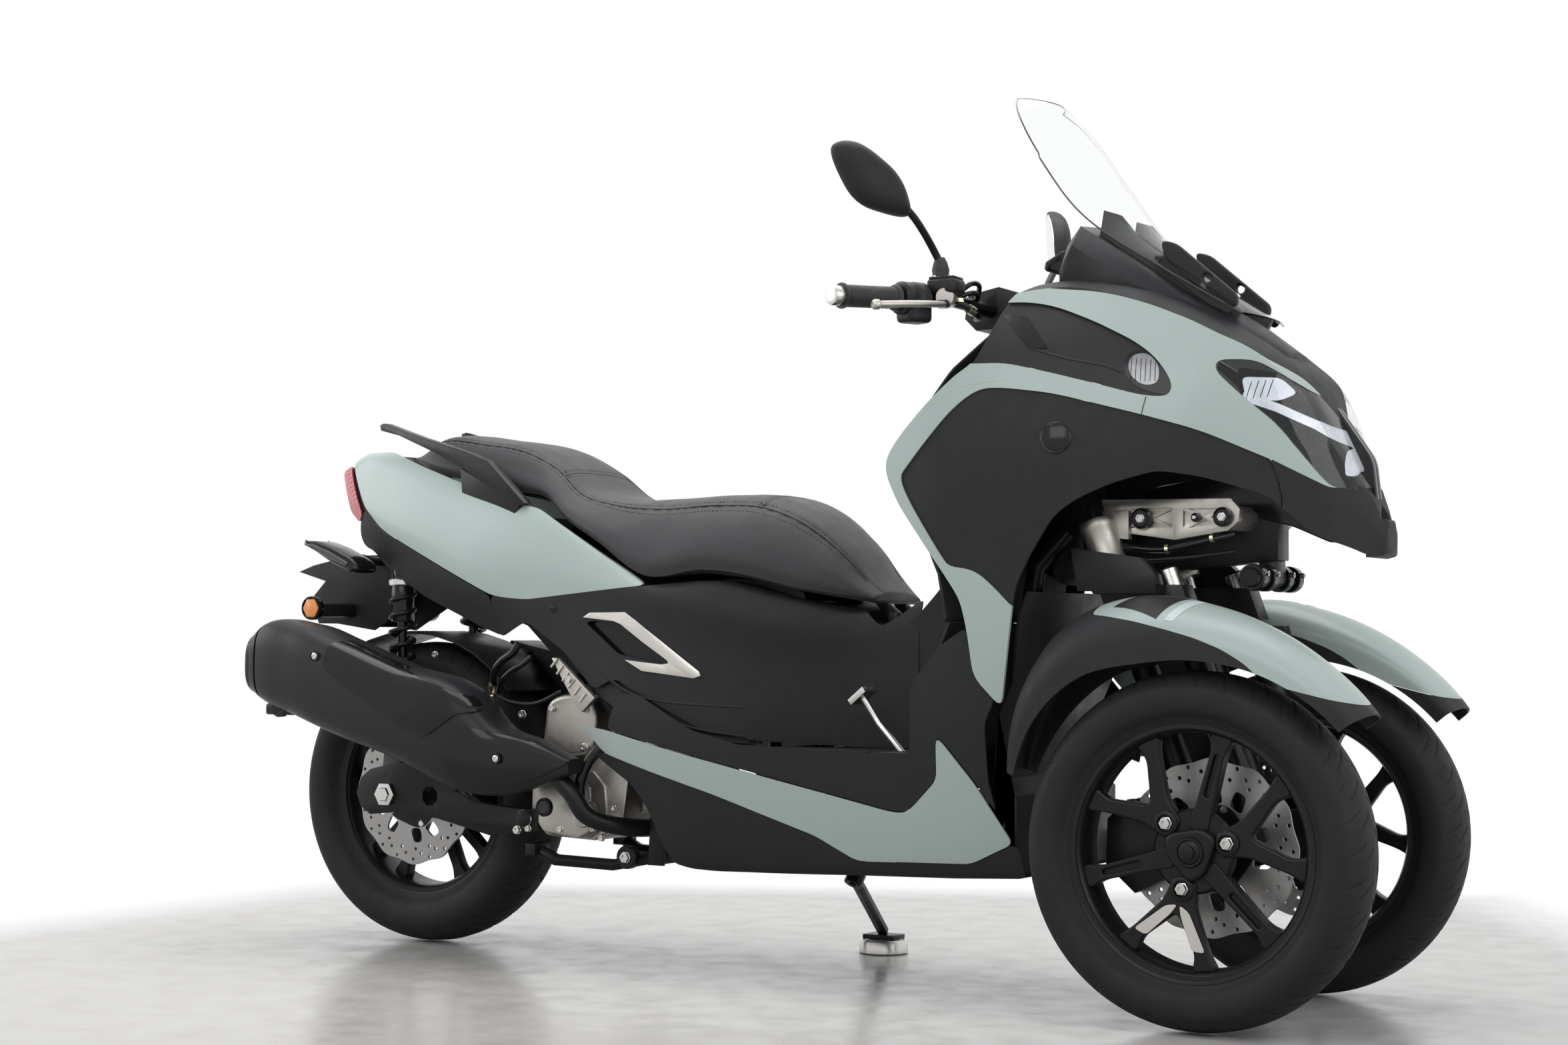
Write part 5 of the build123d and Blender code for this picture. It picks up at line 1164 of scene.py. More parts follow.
def front_wheel(side, name):
    """Front wheel on the side -1 right or 1 left; its face looks outward."""
    y = side * TRACK / 2
    body = "wheel_" + name
    objs = [rim_shell(42, WHEELBASE, y, FRONT_R, black_metal)]

    def flat(outlines, d_low, d_high, mat, bevel=2.0):
        moved = [[(WHEELBASE + a, FRONT_R + b) for a, b in outline] for outline in outlines]
        lows = sorted((y + side * d_low, y + side * d_high))
        return plate(moved, *lows, mat, bevel)

    for n in range(3):
        turn = 15 + 120 * n
        objs.append(flat([rounded(wishbone(turn, 44, 24, 84, 18, 21, 4.6, 92), 10, 4)], 10, 28, black_metal, 3.5))
        straight = [wheel_point(34, turn + 60 - 28), wheel_point(70, turn + 60 - 11), wheel_point(150, turn + 60 - 4.2),
                    wheel_point(175, turn + 60 - 6.5), wheel_point(175, turn + 60 + 6.5),
                    wheel_point(150, turn + 60 + 4.2), wheel_point(70, turn + 60 + 11), wheel_point(34, turn + 60 + 28)]
        slot = [wheel_point(82, turn + 60 - 3.4), wheel_point(146, turn + 60 - 1.5), wheel_point(146, turn + 60 + 1.5),
                wheel_point(82, turn + 60 + 3.4)]
        objs.append(flat([rounded(straight, 10, 4), rounded(slot, 4, 3)], 14, 27, black_metal, 2.5))
        objs.append(flat([rounded(straight, 10, 4)], 4, 20, black_metal, 2.5))
        bx, bz = wheel_point(56, turn)
        cup = [(0, 8), (19, 8), (18, 31), (15.5, 33), (12.5, 33), (11, 27), (0, 27)]
        objs.append(lathe([(r, side * d) for r, d in cup], WHEELBASE + bx, y, FRONT_R + bz, black_metal, 40))
        objs.append(bolt(WHEELBASE + bx, y + side * 27, FRONT_R + bz, 8.5, side, steel, 10))
    cap = [wheel_point(46 if n % 2 else 40, 75 + 60 * n + (12 if n % 2 else -12)) for n in range(6)]
    objs.append(flat([rounded(cap, 14, 4)], 14, 38, black_metal, 5))
    hub = [(0, 42), (14, 42), (17, 40), (18, 41.5), (21, 41.5), (23, 38), (26, 30), (34, 0), (34, -50), (0, -50)]
    objs.append(lathe([(r, side * d) for r, d in hub], WHEELBASE, y, FRONT_R, black_metal, 64))
    web = [(20, 24), (58, 24), (62, 20), (62, 8), (20, 8)]
    objs.append(lathe([(r, side * d) for r, d in web], WHEELBASE, y, FRONT_R, black_metal, 64))
    for arm in (-1, 1):
        strip = [wheel_point(80, -105 + arm * 1), wheel_point(88, -105 + arm * 12), wheel_point(146, -105 + arm * 23),
                 wheel_point(143, -105 + arm * 15), wheel_point(97, -105 + arm * 5)]
        objs.append(flat([rounded(strip, 6, 4)], 26.5, 28.7, trim_silver, 0.4))
    piece("wheel_" + name + "_rim", objs, body, "metal_black", "rim_" + name)
    tyre_mesh(FRONT_R, 119, WHEELBASE, y, FRONT_R, 34, "wheel_" + name + "_tyre", body, "tyre_" + name)
    piece("wheel_" + name + "_disc", disc_parts(WHEELBASE, side * 180, FRONT_R, 133), body, "steel_bright",
          "disc_" + name)


def disc_parts(x, y, z, radius):
    """Petal brake disc with drilled holes on its carrier."""
    edge = []
    for n in range(192):
        a = 360 * n / 192
        edge.append(wheel_point(radius - 2.6 + 2.4 * math.cos(math.radians(a * 12)), a))
    loops = [edge, [wheel_point(58, 360 * n / 60) for n in range(60)]]
    for n in range(20):
        for r, shift in ((123, 0.0), (113, 9.0), (104, 3.0)):
            cx, cz = wheel_point(r, 18 * n + shift)
            loops.append([(cx + 3.1 * math.cos(math.radians(a)), cz + 3.1 * math.sin(math.radians(a)))
                          for a in range(0, 360, 36)])
    for n in range(5):
        for turn in (72 * n - 14, 72 * n + 14):
            window = [wheel_point(67, turn - 10), wheel_point(93, turn - 3), wheel_point(93, turn + 9),
                      wheel_point(67, turn + 10)]
            loops.append(rounded(window, 8, 3))
    ring = plate([[(x + a, z + b) for a, b in loop] for loop in loops], y - 2.4, y + 2.4, disc_steel, 0.3)
    hub_edge = [wheel_point(63 + 3 * math.cos(math.radians(30 * n)), 6 * n) for n in range(60)]
    bore = [wheel_point(26, 15 * n) for n in range(24)]
    inner = plate([[(x + a, z + b) for a, b in loop] for loop in (hub_edge, bore)], y - 4, y + 4, black_metal, 0.8)
    rivets = []
    for n in range(5):
        cx, cz = wheel_point(60, 72 * n)
        rivets.append(lathe([(0, -5), (5, -5), (6, -4), (6, 4), (5, 5), (0, 5)], x + cx, y, z + cz, steel, 16))
    return [ring, inner] + rivets


front_wheel(-1, "front_right")
front_wheel(1, "front_left")


def rear_wheel():
    objs = [rim_shell(48, 0, 0, REAR_R, black_metal)]
    for n in range(5):
        for side in (-1, 1):
            turn = 90 + 72 * n + side * 12
            spoke = [wheel_point(32, turn - 24), wheel_point(70, turn - 9), wheel_point(150, turn - 3.6),
                     wheel_point(175, turn - 5.5), wheel_point(175, turn + 5.5), wheel_point(150, turn + 3.6),
                     wheel_point(70, turn + 9), wheel_point(32, turn + 24)]
            moved = [(a, REAR_R + b) for a, b in rounded(spoke, 8, 3)]
            objs.append(plate([moved], -14, 10, black_metal, 3))
    hub = [(0, -59), (33, -59), (34, -20), (40, -14), (40, 12), (34, 18), (34, 50), (0, 50)]
    objs.append(lathe(hub, 0, 0, REAR_R, black_metal, 64))
    piece("wheel_rear_rim", objs, "wheel_rear", "metal_black", "rim_rear")
    tyre_mesh(REAR_R, 139, 0, 0, REAR_R, 36, "wheel_rear_tyre", "wheel_rear", "tyre_rear")
    piece("wheel_rear_disc", disc_parts(0, -61.5, REAR_R, 133), "wheel_rear", "steel_bright", "disc_rear")


rear_wheel()


# Front fenders

FENDER_STATIONS = [
    (38, 330, 292, 172, 300), (60, 336, 284, 168, 304), (85, 356, 277, 168, 306), (105, 382, 280, 168, 306),
    (122, 388, 296, 168, 306), (140, 362, 300, 176, 300), (160, 318, 294, 200, 284),
]
FENDER_TRIM_AREA = [
    (1436, 604), (1500, 700), (1700, 680), (1900, 520), (1880, 440), (1862, 474), (1828, 482), (1776, 494),
    (1720, 508), (1687, 536), (1654, 555), (1612, 571), (1570, 582), (1518, 594), (1464, 602),
]


def fender_line(angle):
    crown, edge, y_in, y_out = hermite(FENDER_STATIONS, angle)
    drop = crown - edge
    middle = (y_in + y_out) / 2
    across = [
        (y_in, edge), (y_in, crown - drop * 0.36), (middle - 0.27 * (y_out - y_in), crown - drop * 0.08),
        (middle, crown), (middle + 0.25 * (y_out - y_in), crown - drop * 0.16), (y_out - 6, crown - drop * 0.5),
        (y_out, edge),
    ]
    a = math.radians(angle)
    line = catmull([(y, r, 0) for y, r in across], 5)
    return [row(WHEELBASE + p.y * math.cos(a), -p.x, FRONT_R + p.y * math.sin(a)) for p in line]


def fender_shell(mat):
    angles = list(np.linspace(38, 160, 80))
    lines = [fender_line(a) for a in angles]
    count = len(lines[0])
    verts = [v for line in lines for v in line]
    obj = mesh_object(verts, grid_faces(len(lines), count), mat)
    bm = bmesh.new()
    bm.from_mesh(obj.data)
    hub = row(WHEELBASE, -TRACK / 2, FRONT_R)
    if sum((f.calc_center_median() - hub).dot(f.normal) for f in bm.faces) < 0:
        bmesh.ops.reverse_faces(bm, faces=bm.faces)
    bm.to_mesh(obj.data)
    bm.free()
    return modified(obj, "SOLIDIFY", thickness=SKIN / 1000, offset=-1, use_even_offset=True)


# Corners as (angle, place across the shell): the dark patch and the light stripe behind it
FENDER_MARKS = (
    (((109.0, 19.0), (103.5, 15.2), (91.8, 15.2), (97.5, 23.2)), plastic_fine),
    (((95.4, 23.4), (90.2, 15.2), (87.8, 15.2), (92.9, 23.4)), decal),
)


def fender_point(angle, place, lift):
    """Point on the fender's skin, lifted off it."""
    line = fender_line(angle)
    n = min(int(place), len(line) - 2)
    at = line[n].lerp(line[n + 1], place - n)
    across = line[n + 1] - line[n]
    ahead = fender_line(angle + 0.5)[n] - line[n]
    out = across.cross(ahead).normalized()
    if out.dot(at - row(WHEELBASE, -TRACK / 2, FRONT_R)) < 0:
        out = -out
    return at + out * (lift / 1000)


def fender_marks(side):
    """Plain printed marks: thin sheets that follow the fender."""
    sheets = []
    for corners, mat in FENDER_MARKS:
        a, b, c, d = (Vector(q) for q in corners)
        count = 16
        verts = []
        for i in range(count + 1):
            for j in range(count + 1):
                s, t = i / count, j / count
                q = a * (1 - s) * (1 - t) + b * s * (1 - t) + c * s * t + d * (1 - s) * t
                verts.append(fender_point(q.x, q.y, 0.5))
        sheet = mesh_object(verts, grid_faces(count + 1, count + 1), mat)
        sheets.append(shaded(modified(sheet, "SOLIDIFY", thickness=0.0003, offset=0), 30))
    if side == "left":
        twins = [mirrored(o) for o in sheets]
        for sheet in sheets:
            bpy.data.objects.remove(sheet)
        return twins
    return sheets


def fenders():
    trim_area = rounded(FENDER_TRIM_AREA, 12)
    trim = boolean(fender_shell(paint), prism(trim_area, -420, 0), "INTERSECT")
    dark = boolean(fender_shell(plastic), prism(grown(trim_area, GAP), -420, 0), "DIFFERENCE")
    right = [shaded(trim, 30), shaded(dark, 30)]
    left = [mirrored(o) for o in right]
    for side, (trim, dark) in (("right", right), ("left", left)):
        piece("fender_paint_" + side, [trim], "fork_" + side, "paint_green", "fender_trim_" + side)
        piece("fender_dark_" + side, [dark], "fork_" + side, "plastic_gloss", "fender_" + side)
        piece("fender_marks_" + side, fender_marks(side), "fork_" + side, "plastic_gloss")


fenders()


# Seat

# x, lower edge, top of the middle, half width at the top, widest half width
SEAT_STATIONS = [
    (10, 882, 893, 60, 84), (60, 862, 922, 84, 108), (190, 834, 920, 100, 128), (290, 812, 900, 104, 138),
    (350, 800, 866, 104, 142), (400, 764, 826, 112, 160), (480, 722, 806, 124, 178), (580, 664, 805, 130, 186),
    (700, 672, 809, 124, 182), (780, 662, 804, 112, 170), (850, 644, 772, 94, 148), (910, 634, 716, 76, 122),
    (950, 627, 664, 60, 98), (972, 622, 640, 50, 80),
]


CROSS_SEAMS = (362.0, 772.0)
SEAT_STEPS = 9
EDGE_SEAM = 2 * SEAT_STEPS


def seat_ring(x, steps):
    """Section of the seat: the upper edge of its side panel is a fourth of the way round."""
    low, top, half_top, half = hermite(SEAT_STATIONS, x)
    base = low + 5.3
    rise = top - base
    side = [(0, top, 0), (half_top * 0.6, top - rise * 0.03, 0), (half_top, top - rise * 0.16, 0),
            (half * 0.94, base + rise * 0.42, 0), (half, base + rise * 0.16, 0), (half * 0.97, base, 0)]
    return catmull(side, steps)


def seat():
    xs = list(np.linspace(10, 972, 230))
    verts = []
    for x in xs:
        line = seat_ring(x, SEAT_STEPS)
        for k, p in enumerate(line):
            near = math.exp(-((k - EDGE_SEAM) / 2.2) ** 2)
            pucker = 1.5 * near * (1 + 0.35 * math.sin(x * 0.31 + 2 * math.sin(x * 0.05)))
            cross = sum(math.exp(-((x - at) / 5.0) ** 2) for at in CROSS_SEAMS) if k < EDGE_SEAM else 0.0
            slack = 0.9 * vector_noise.noise(Vector((x * 0.011, k * 0.16, 3.1)))
            soft = pucker + 1.6 * cross + max(slack, 0.0)
            if k < len(line) - 3:
                p.y -= soft * 0.75
                p.x = max(p.x - soft * 0.65, 0.0) if k else 0.0
        ring = [(-p.x, p.y) for p in line] + [(p.x, p.y) for p in reversed(line[1:])]
        count = len(ring)
        verts += [row(x, y, z) for y, z in ring]
    faces = grid_faces(len(xs), count, round_cols=True)
    faces += [tuple(range(count - 1, -1, -1)), tuple(range((len(xs) - 1) * count, len(xs) * count))]
    obj = faced_out(mesh_object(verts, faces, vinyl))
    whole = piece("seat_cover", [shaded(obj, 50)], "seat", "seat_vinyl", "seat_cushion")
    seam_xs = xs[6:-6]
    welt = [seat_ring(x, SEAT_STEPS)[EDGE_SEAM] for x in seam_xs]
    trims = [tube([(x, -p.x + 0.9, p.y - 0.9) for x, p in zip(seam_xs, welt)], 1.5, vinyl_smooth, 0, 3)]
    for k, drop in ((EDGE_SEAM - 2, -0.6), (EDGE_SEAM + 2, -0.4)):
        way = [seat_ring(x, SEAT_STEPS)[k] for x in seam_xs]
        trims.append(stitches([(x, -p.x - drop, p.y + drop) for x, p in zip(seam_xs, way)], thread))
    trims = both(trims)
    for at in CROSS_SEAMS:
        line = [(at, -p.x, p.y - 1.7) for p in seat_ring(at, SEAT_STEPS)[:EDGE_SEAM]]
        whole_line = line[::-1] + [(x, -y, z) for x, y, z in line[1:]]
        trims.append(tube(whole_line, 1.3, vinyl_smooth, 0, 3))
        for ahead in (-6, 6):
            row_line = [(at + ahead, -p.x, p.y - 0.5) for p in seat_ring(at + ahead, SEAT_STEPS)[:EDGE_SEAM]]
            trims.append(stitches(row_line[::-1] + [(x, -y, z) for x, y, z in row_line[1:]], thread))
    piece("seat_seams", trims, "seat", "seat_vinyl")


seat()


# Exhaust

# x, lowest, highest, inner y, outer y
MUFFLER_STATIONS = [
    (-240, 482, 528, -180, -250), (-232, 462, 556, -168, -266), (-218, 452, 571, -162, -272),
    (-111, 412, 583, -150, -287), (-20, 382, 556, -150, -289), (110, 346, 512, -152, -287),
    (263, 292, 465, -158, -277), (320, 290, 412, -165, -267), (395, 308, 388, -178, -252), (477, 335, 355, -196, -236),
]
INSERT_AREA = [(-28, 504), (-26, 550), (11, 557), (139, 502), (304, 449), (266, 441), (194, 386), (119, 421)]
ARROW_AREA = [(131, 411), (206, 458), (262, 446), (296, 436), (262, 430), (205, 392)]
FRONT_COVER_AREA = [(229, 372), (284, 410), (400, 384), (474, 352), (399, 318), (300, 294), (257, 310)]


def muffler_ring(x, grow=0.0):
    low, high, inner, outer = hermite(MUFFLER_STATIONS, x)
    my, mz = (inner + outer) / 2, (low + high) / 2
    half_y, half_z = abs(outer - inner) / 2 + grow, (high - low) / 2 + grow
    ring = []
    for n in range(56):
        a = 2 * math.pi * n / 56
        c, d = math.cos(a), math.sin(a)
        ring.append((x, my + half_y * math.copysign(abs(c) ** 0.62, c), mz + half_z * math.copysign(abs(d) ** 0.62, d)))
    return ring


def exhaust():
    cap = skinned([muffler_ring(x) for x in np.linspace(-240, -202, 14)], black_metal)
    groove = skinned([muffler_ring(x, -4) for x in (-203, -196)], gloss)
    body = skinned([muffler_ring(x) for x in np.linspace(-197, 470, 70)], plastic_fine)
    parts = [cap, groove, body]
    for area, mat, grow, ends in ((INSERT_AREA, gloss, 1.6, (-60, 330)), (ARROW_AREA, black_metal, 3.0, (100, 330)),
                                  (FRONT_COVER_AREA, gloss, 4.0, (210, 480))):
        skin = skinned([muffler_ring(x, grow) for x in np.linspace(ends[0], ends[1], 40)], mat)
        parts.append(shaded(boolean(skin, prism(rounded(area, 9), -300, -232), "INTERSECT"), 30))
    for x, z, y in ((-48, 526, -288), (343, 356, -271)):
        parts += screw(x, y, z, 6, -1, steel)
    parts.append(lathe([(0, 2), (8, 2), (9, 0), (16, -2), (16, -14), (0, -14)], -164, -236, 430, black_metal, 24))
    parts.append(block(-164, -236, 428, (66, 26, 20), black_metal, 4))
    parts.append(turned([(0, -2), (15, -2), (17, 4), (21, 6), (21, -8), (0, -8)], (-240, -215, 505), (-262, -215, 508),
                        gloss, 40))
    parts.append(tube([(400, -210, 346), (456, -208, 300), (480, -196, 262), (520, -150, 242), (556, -76, 238),
                       (580, -40, 242), (590, -30, 262)], 15.5, black_metal, 6, 6))
    parts.append(plate([rounded([(148, 300), (184, 286), (202, 380), (158, 380)], 10)], -174, -154, black_metal, 3))
    piece("exhaust_system", parts, "chassis", SLOTS["exhaust"], "exhaust")


# Shocks, rear lamps and reflectors

def coil(start, end, radius, wire, turns, mat):
    a, b = Vector(start), Vector(end)
    way = (b - a).normalized()
    across = way.orthogonal().normalized()
    other = way.cross(across)
    line = []
    for n in range(int(turns * 20) + 1):
        t = n / (turns * 20)
        spin = 2 * math.pi * turns * t
        line.append(tuple(a + (b - a) * t + (across * math.cos(spin) + other * math.sin(spin)) * radius))
    return tube(line, wire, mat, 0, 3)


def rear_shock():
    top, low = Vector((1, -105, 692)), Vector((2, -105, 420))
    at = lambda share: tuple(low + (top - low) * share)
    parts = [turned([(0, 0), (9, 0), (9, 262), (0, 262)], low, top, gloss, 28),
             turned([(0, 0), (20, 0), (21, 3), (21, 92), (18, 96), (0, 96)], at(0.62), at(1), gloss, 40),
             turned([(0, 0), (24, 0), (26, 2), (26, 10), (24, 12), (0, 12)], at(0.86), at(1), steel, 40),
             turned([(0, 0), (25, 0), (27, 3), (27, 12), (0, 14)], at(0.14), at(1), black_metal, 40),
             coil(at(0.18), at(0.86), 21.5, 4.6, 6.5, black_metal)]
    for x, z in ((1, 692), (2, 420)):
        parts.append(lathe([(7, -13), (13, -13), (14, -11), (14, 11), (13, 13), (7, 13)], x, -105, z, zinc, 32))
        parts.append(lathe([(0, -13.5), (7, -13.5), (7, 13.5), (0, 13.5)], x, -105, z, gloss, 20))
        parts.append(bolt(x, -118, z, 6.5, -1, steel, 6))
    piece("rear_shock_pair", both(parts), "chassis", SLOTS["rear_shocks"], "rear_shocks")


def rear_signals():
    blade = [(-182, 736), (-150, 716), (-110, 694), (-58, 674), (-44, 684), (-60, 702), (-110, 724), (-150, 736)]
    parts = [plate([rounded(blade, 12)], -178, -116, gloss, 9),
             plate([rounded([(-170, 728), (-120, 706), (-70, 688), (-66, 694), (-114, 716), (-158, 731)], 6)], -180.5,
                   -170,
                   smoke, 2),
             tube([(-84, -60, 700), (-82, -90, 700), (-84, -120, 704)], 8, plastic_fine, 5, 4),
             plate([rounded([(-180, 596), (-146, 596), (-146, 622), (-180, 622)], 6)], -168, -60, plastic_fine, 3),
             lathe([(0, -5), (18, -5), (19, -7), (21, -7), (22, -5), (22, 6), (0, 6)], -157, -170, 612, gloss, 48),
             lathe([(0, -8), (6, -7.6), (18.4, -6), (18.4, 0), (0, 0)], -157, -170, 612, amber, 6)]
    piece("rear_lamps", both(parts), "chassis", SLOTS["rear_signals"], "rear_signals")


# Handlebar

def mirrors():
    outline = rounded([(1028, 1322), (1034, 1292), (1073, 1230), (1155, 1215), (1172, 1223), (1148, 1281),
                       (1072, 1330)],
                      34, 6)
    turn = math.radians(58)

    def ring(depth, scale):
        points = []
        for x, z in outline:
            a, b = scale * (x - 1100), depth
            points.append((1105 + a * math.cos(turn) - b * math.sin(turn),
                           -338 + a * math.sin(turn) + b * math.cos(turn),
                           1272 + scale * (z - 1272)))
        return points

    dome = [(-22, 0.34), (-20.5, 0.56), (-17, 0.74), (-11, 0.89), (-4, 0.97), (3, 1.0), (9, 0.995), (12, 0.97)]
    parts = [skinned([ring(d, k) for d, k in dome], plastic), skinned([ring(12.2, 0.9), ring(12.8, 0.89)], chrome)]
    parts.append(tube([(1152, -200, 1134), (1152, -201, 1150), (1147, -208, 1168), (1140, -268, 1218),
                       (1126, -306, 1246)],
                      6, black_metal, 8, 5))
    parts.append(turned([(0, 0), (13, 0), (14, 4), (13, 9), (14, 14), (11, 26), (7, 34), (0, 34)], (1152, -200, 1130),
                        (1151, -202, 1170), grip_rubber, 28))
    parts.append(turned([(0, 0), (9, 0), (9, 12), (0, 12)], (1129, -300, 1240), (1122, -310, 1252), black_metal, 6))
    piece("mirror_pair", both(parts), "handlebar", SLOTS["mirrors"], "mirrors")


def grips():
    start, end = Vector((1115, -279, 1093.6)), Vector((1072, -380, 1088))
    length = (end - start).length
    profile = [(0, 0), (20, 0), (21, 2), (20, 5), (16.5, 7)]
    for n in range(17):
        d = 10 + n * (length - 22) / 17
        profile += [(17.2, d), (17.2, d + 3.4), (16.3, d + 4.0), (16.3, d + 5.2)]
    profile += [(17.5, length - 8), (20, length - 5), (20, length - 2), (0, length - 2)]
    parts = [turned(profile, start, end, grip_rubber, 40)]
    weight = [(0, -3), (14, -3), (15.5, 0), (15.5, 14), (14, 17), (11, 18), (0, 18)]
    parts.append(turned(weight, end, (1066, -394, 1087.2), steel, 40))
    piece("grip_pair", both(parts), "handlebar", SLOTS["grips"], "grips")


def bar_controls():
    a, b = (1134, -228, 1095), (1112, -286, 1094)
    parts = [turned([(0, 0), (24, 0), (27, 4), (27, 22), (25, 26), (24, 27), (26, 30), (26, 46), (22, 50), (0, 50)],
                    a, b,
                    plastic_fine, 28),
             block(1128, -244, 1074, (46, 40, 34), plastic_fine, 8, (0, 0, 66)),
             block(1108, -250, 1096, (14, 26, 20), gloss, 4, (0, 0, 66)),
             block(1164, -206, 1116, (50, 42, 24), plastic_fine, 6),
             block(1164, -206, 1129, (44, 36, 6), gloss, 2.5),
             turned([(0, 0), (14, 0), (15, 3), (15, 44), (13, 48), (0, 48)], (1172, -226, 1098), (1156, -176, 1102),
                    cast, 28),
             tube([(1164, -222, 1090), (1178, -244, 1084), (1176, -284, 1080), (1158, -330, 1076),
                   (1134, -372, 1072)], 5.4,
                  cast, 8, 4),
             turned([(0, 0), (5, 0.5), (8, 4), (8, 11), (5, 14.5), (0, 15)], (1136, -368, 1072), (1128, -380, 1071),
                    cast, 24),
             block(1172, -232, 1086, (20, 24, 12), black_metal, 4, (0, 0, 20))]
    for x, y in ((1150, -220), (1178, -220), (1150, -192), (1178, -192)):
        parts.append(bolt(x, y, 1131, 2.6, 1, steel, 2.6, "z"))
    parts.append(tube([(1166, -180, 1104), (1186, -166, 1124), (1188, -140, 1126), (1168, -104, 1108)], 4.2, gloss, 8,
                      4))
    parts.append(tube([(1150, -182, 1090), (1176, -166, 1108), (1186, -146, 1112), (1166, -104, 1096)], 4.2, gloss, 8,
                      4))
    parts.append(tube([(1176, -190, 1094), (1190, -176, 1084), (1192, -150, 1074), (1168, -108, 1076)], 5.0,
                      black_metal, 8, 4))
    parts.append(bolt(1176, -186, 1094, 8, 1, zinc, 6, "z"))
    parts.append(turned([(0, 0), (8, 0), (8, 12), (0, 12)], (1190, -178, 1084), (1193, -164, 1079), zinc, 20))
    piece("controls", both(parts), "handlebar", SLOTS["bar_controls"], "bar_controls")


# Fork, linkage, engine and frame details that lie on the rounded CAD shapes

def kingpin(ahead, z):
    return (WHEELBASE + TRAIL + ahead - z * math.tan(math.radians(CASTER)), -KINGPIN_Y, z)


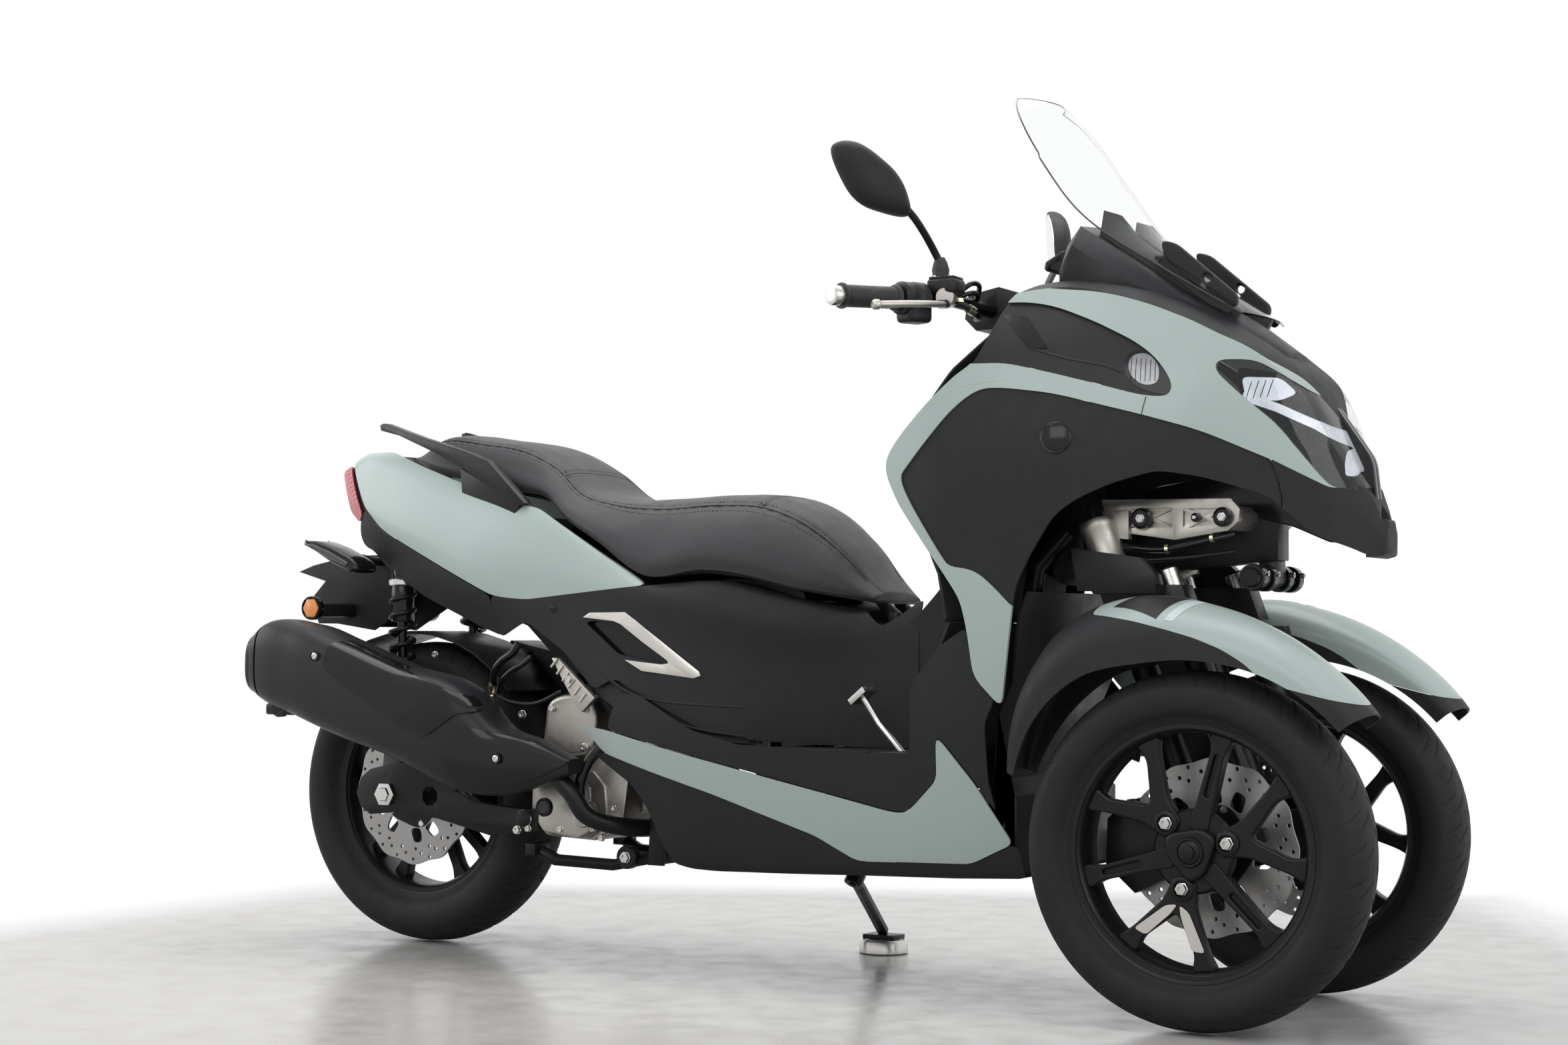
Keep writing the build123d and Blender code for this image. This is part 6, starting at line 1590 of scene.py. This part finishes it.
def small_parts():
    fork = []
    for ahead in (0, LEG_SPACING):
        fork.append(turned([(0, 0), (16.8, 0), (16.8, 92), (0, 92)], kingpin(ahead, 585), kingpin(ahead, 690), steel,
                           36))
        top, low = Vector(kingpin(ahead, 590)), Vector(kingpin(ahead, FRONT_R - 20))
        long = (top - low).length
        fork.append(turned([(0, 0), (SLIDER_R, 0), (SLIDER_R + 1, 4), (SLIDER_R + 1, long - 22),
                            (SLIDER_R + 3, long - 20),
                            (SLIDER_R + 3, long - 4), (SLIDER_R - 2, long + 2), (0, long + 2)], low, top, black_metal,
                            36))
    fork += [bolt(1452, -184, 664, 5, -1, steel, 5), bolt(1500, -184, 660, 5, -1, steel, 5)]
    twins = [mirrored(o) for o in fork]
    piece("fork_tubes_right", fork, "fork_right", "metal_black")
    piece("fork_tubes_left", twins, "fork_left", "metal_black")
    link = [turned([(0, -2), (26.2, -2), (27.4, 0), (27.4, 12), (26, 14), (26, 72), (27.4, 74), (27.4, 86), (26, 88),
                    (0, 88)], kingpin(0, 666), kingpin(0, 748), cast, 40)]
    for x, r in ((1459, 16), (1590, 15), (1547, 7)):
        link.append(lathe([(0, -12), (r - 4, -12), (r - 3, -10), (r, -9), (r, 0), (0, 0)], x, -119, 752, gloss, 36))
        link.append(bolt(x, -130, 752, r * 0.4, -1, steel, 5))
    link.append(tube([(1400, -128, 716), (1440, -134, 708), (1500, -130, 704), (1560, -126, 716), (1604, -112, 726)], 5,
                     gloss, 8, 4))
    link.append(tube([(1396, -130, 700), (1450, -140, 688), (1520, -134, 690), (1600, -104, 700)], 3.4, black_metal,
                     8, 4))
    for x, z in ((1424, 712), (1500, 704), (1572, 720)):
        link.append(turned([(0, 0), (7, 0), (7, 5), (0, 5)], (x, -131, z), (x + 6, -130, z + 1), zinc, 20))
    piece("linkage_details", both(link), "chassis", "cast_silver")
    lock = [lathe([(0, -98), (13, -98), (15, -94), (15, 94), (13, 98), (0, 98)], 1622, 0, 662, black_metal, 36)]
    for y in (-80, -34, 34, 80):
        lock.append(lathe([(0, -9.5), (19, -9.5), (20.5, -8), (20.5, 8), (19, 9.5), (0, 9.5)], 1622, y, 662, gloss, 36))
        lock.append(bolt(1640, y, 668, 4.5, 1, steel, 6, "x"))
    piece("lock_details", lock, "chassis", "metal_black")
    tubes = [(1305, -56, 735), (1262, -78, 680), (1222, -90, 400), (1190, -92, 250), (1120, -92, 235), (650, -92, 235),
             (560, -130, 330), (430, -150, 560), (170, -140, 648), (30, -80, 702), (-50, -52, 730)]
    frame_parts = [tube(tubes, 15.9, black_metal, 0, 6)]
    for x, z in ((1080, 235), (680, 235), (500, 436)):
        frame_parts.append(bolt(x, -136 if z > 300 else -108, z, 8, -1, steel, 7))
    piece("frame_details", both(frame_parts), "chassis", "metal_black")
    y = -198
    engine = [lathe([(0, -3), (11, -3), (13, -5), (15, -5), (16, -3), (16, 3), (0, 3)], 394, y, 272, black_metal, 36),
              lathe([(0, -3.6), (11, -3.6), (11, 0), (0, 0)], 394, y, 272, lens_clear, 30),
              lathe([(0, -16), (10, -16), (14, -13), (22, -12), (24, -9), (24, 4), (0, 4)], 453, -160, 262, cast, 40),
              lathe([(0, -12), (18, -12), (20, -10), (20, 4), (0, 4)], 512, -112, 187, black_metal, 36),
              bolt(512, -122, 187, 9, -1, steel, 8)]
    for x, z, r, at in ((362, 234, 5, y), (430, 236, 5, y), (446, 300, 5, y), (372, 318, 5, y), (432, 320, 5, y),
                        (513, 273, 5, -160), (489, 221, 5, -160), (310, 227, 7, -160), (470, 236, 4.5, -160),
                        (320, 330, 6, -160), (330, 372, 6, -160)):
        engine.append(bolt(x, at, z, r, -1, steel, 7))
    engine.append(tube([(453, -178, 276), (458, -182, 320), (474, -172, 360), (520, -150, 398)], 10, gloss, 8, 5))
    engine.append(plate([rounded([(352, 366), (362, 452), (400, 466), (452, 460), (470, 430), (462, 366), (420, 356)],
                                 18)],
                        -152, -96, cast, 8))
    engine += [bolt(376, -153, 440, 6, -1, steel, 6), bolt(446, -153, 440, 6, -1, steel, 6),
               bolt(446, -153, 374, 7, -1, steel, 8)]
    engine += [tube([(313, -168, 551), (300, -170, 534), (277, -170, 520), (262, -168, 504), (254, -160, 486),
                     (250, -150, 470)],
                    7, gloss, 8, 5),
               tube([(340, -166, 529), (320, -168, 514), (297, -168, 503), (276, -166, 486), (263, -158, 466)], 5,
                    gloss, 8, 4),
               tube([(263, -160, 458), (298, -166, 448), (349, -168, 447), (406, -166, 470)], 4, black_metal, 8, 4),
               turned([(0, 0), (9, 0), (9, 14), (0, 14)], (250, -156, 480), (246, -148, 464), zinc, 20),
               turned([(0, 0), (7, 0), (7, 16), (0, 16)], (243, -160, 453), (258, -162, 456), zinc, 20),
               bolt(320, -162, 428, 7, -1, steel, 8), bolt(96, -126, 529, 6, -1, steel, 5)]
    piece("engine_details", engine, "chassis", "cast_silver")
    pegs = []
    for n in range(6):
        x, z = 424 + 12 * n, 520 - 11.5 * n
        pegs.append(tube([(x - 6, -216, z - 8), (x + 7, -216, z + 6)], 2.2, cast, 0, 3))
    pegs.append(bolt(455, -216, 492, 6, -1, steel, 4))
    piece("peg_details", both(pegs), "chassis", "cast_silver")
    puck = [turned([(0, 0), (42, 0), (44, 2), (44, 22), (42, 25), (34, 25), (33, 23.6), (0, 23.6)], (785, 300, 0),
                   (785, 300, 25), puck_steel, 96)]
    piece("puck", puck, "chassis", SLOTS["stand_plate"], "stand_plate")
    swing = [lathe([(0, -8), (12, -8), (14, -5), (22, -4), (22, 4), (0, 4)], 0, -146, REAR_R, steel, 6),
             lathe([(0, -8), (14, -8), (16, -6), (16, 2), (0, 2)], 312, -140, 246, steel, 32)]
    piece("axle_nut", swing, "chassis", "steel_bright")


exhaust()
rear_shock()
rear_signals()
mirrors()
grips()
bar_controls()
small_parts()


# Plain rounded pieces: the CAD shape with its edges rounded

ROUNDED_NODES = {
    "seat_base": (plastic_fine, 1.0, "seat"), "storage_tub": (plastic_fine, 1.5, "chassis"),
    "grab_rails": (black_metal, 5.0, "chassis"), "frame": (black_metal, 2.5, "chassis"),
    "engine_block": (cast, 5.0, "chassis"), "transmission_case": (black_metal, 5.0, "chassis"),
    "swingarm": (black_metal, 3.0, "chassis"), "rear_hugger": (plastic_fine, 2.0, "chassis"),
    "rear_fender": (plastic, 1.5, "chassis"),
    "foot_boards": (plastic, 1.5, "chassis"), "leg_shield": (plastic, 1.5, "chassis"),
    "inner_fender": (plastic_fine, 2.0, "chassis"), "screen_hood": (plastic_fine, 4.0, "chassis"),
    "dash": (gloss, 5.0, "chassis"), "handlebar": (black_metal, 1.5, "handlebar"),
    "bar_cover": (plastic_fine, 8.0, "handlebar"),
    "tilt_arms": (cast, 1.5, "chassis"), "tilt_lock": (black_metal, 1.0, "chassis"),
    "side_stand": (black_metal, 2.0, "side_stand"),
    "centre_stand": (black_metal, 2.0, "centre_stand"), "foot_pegs": (cast, 2.5, "chassis"),
    "brake_pedal": (steel, 1.5, "chassis"), "vent_trims": (trim_silver, 1.0, "chassis"),
    "fork_right": (black_metal, 2.0, "fork_right"), "fork_left": (black_metal, 2.0, "fork_left"),
}
for node, (mat, width, body) in ROUNDED_NODES.items():
    piece(node + "_shape", [softened(node, mat, width)], body, SLOTS[node], node)
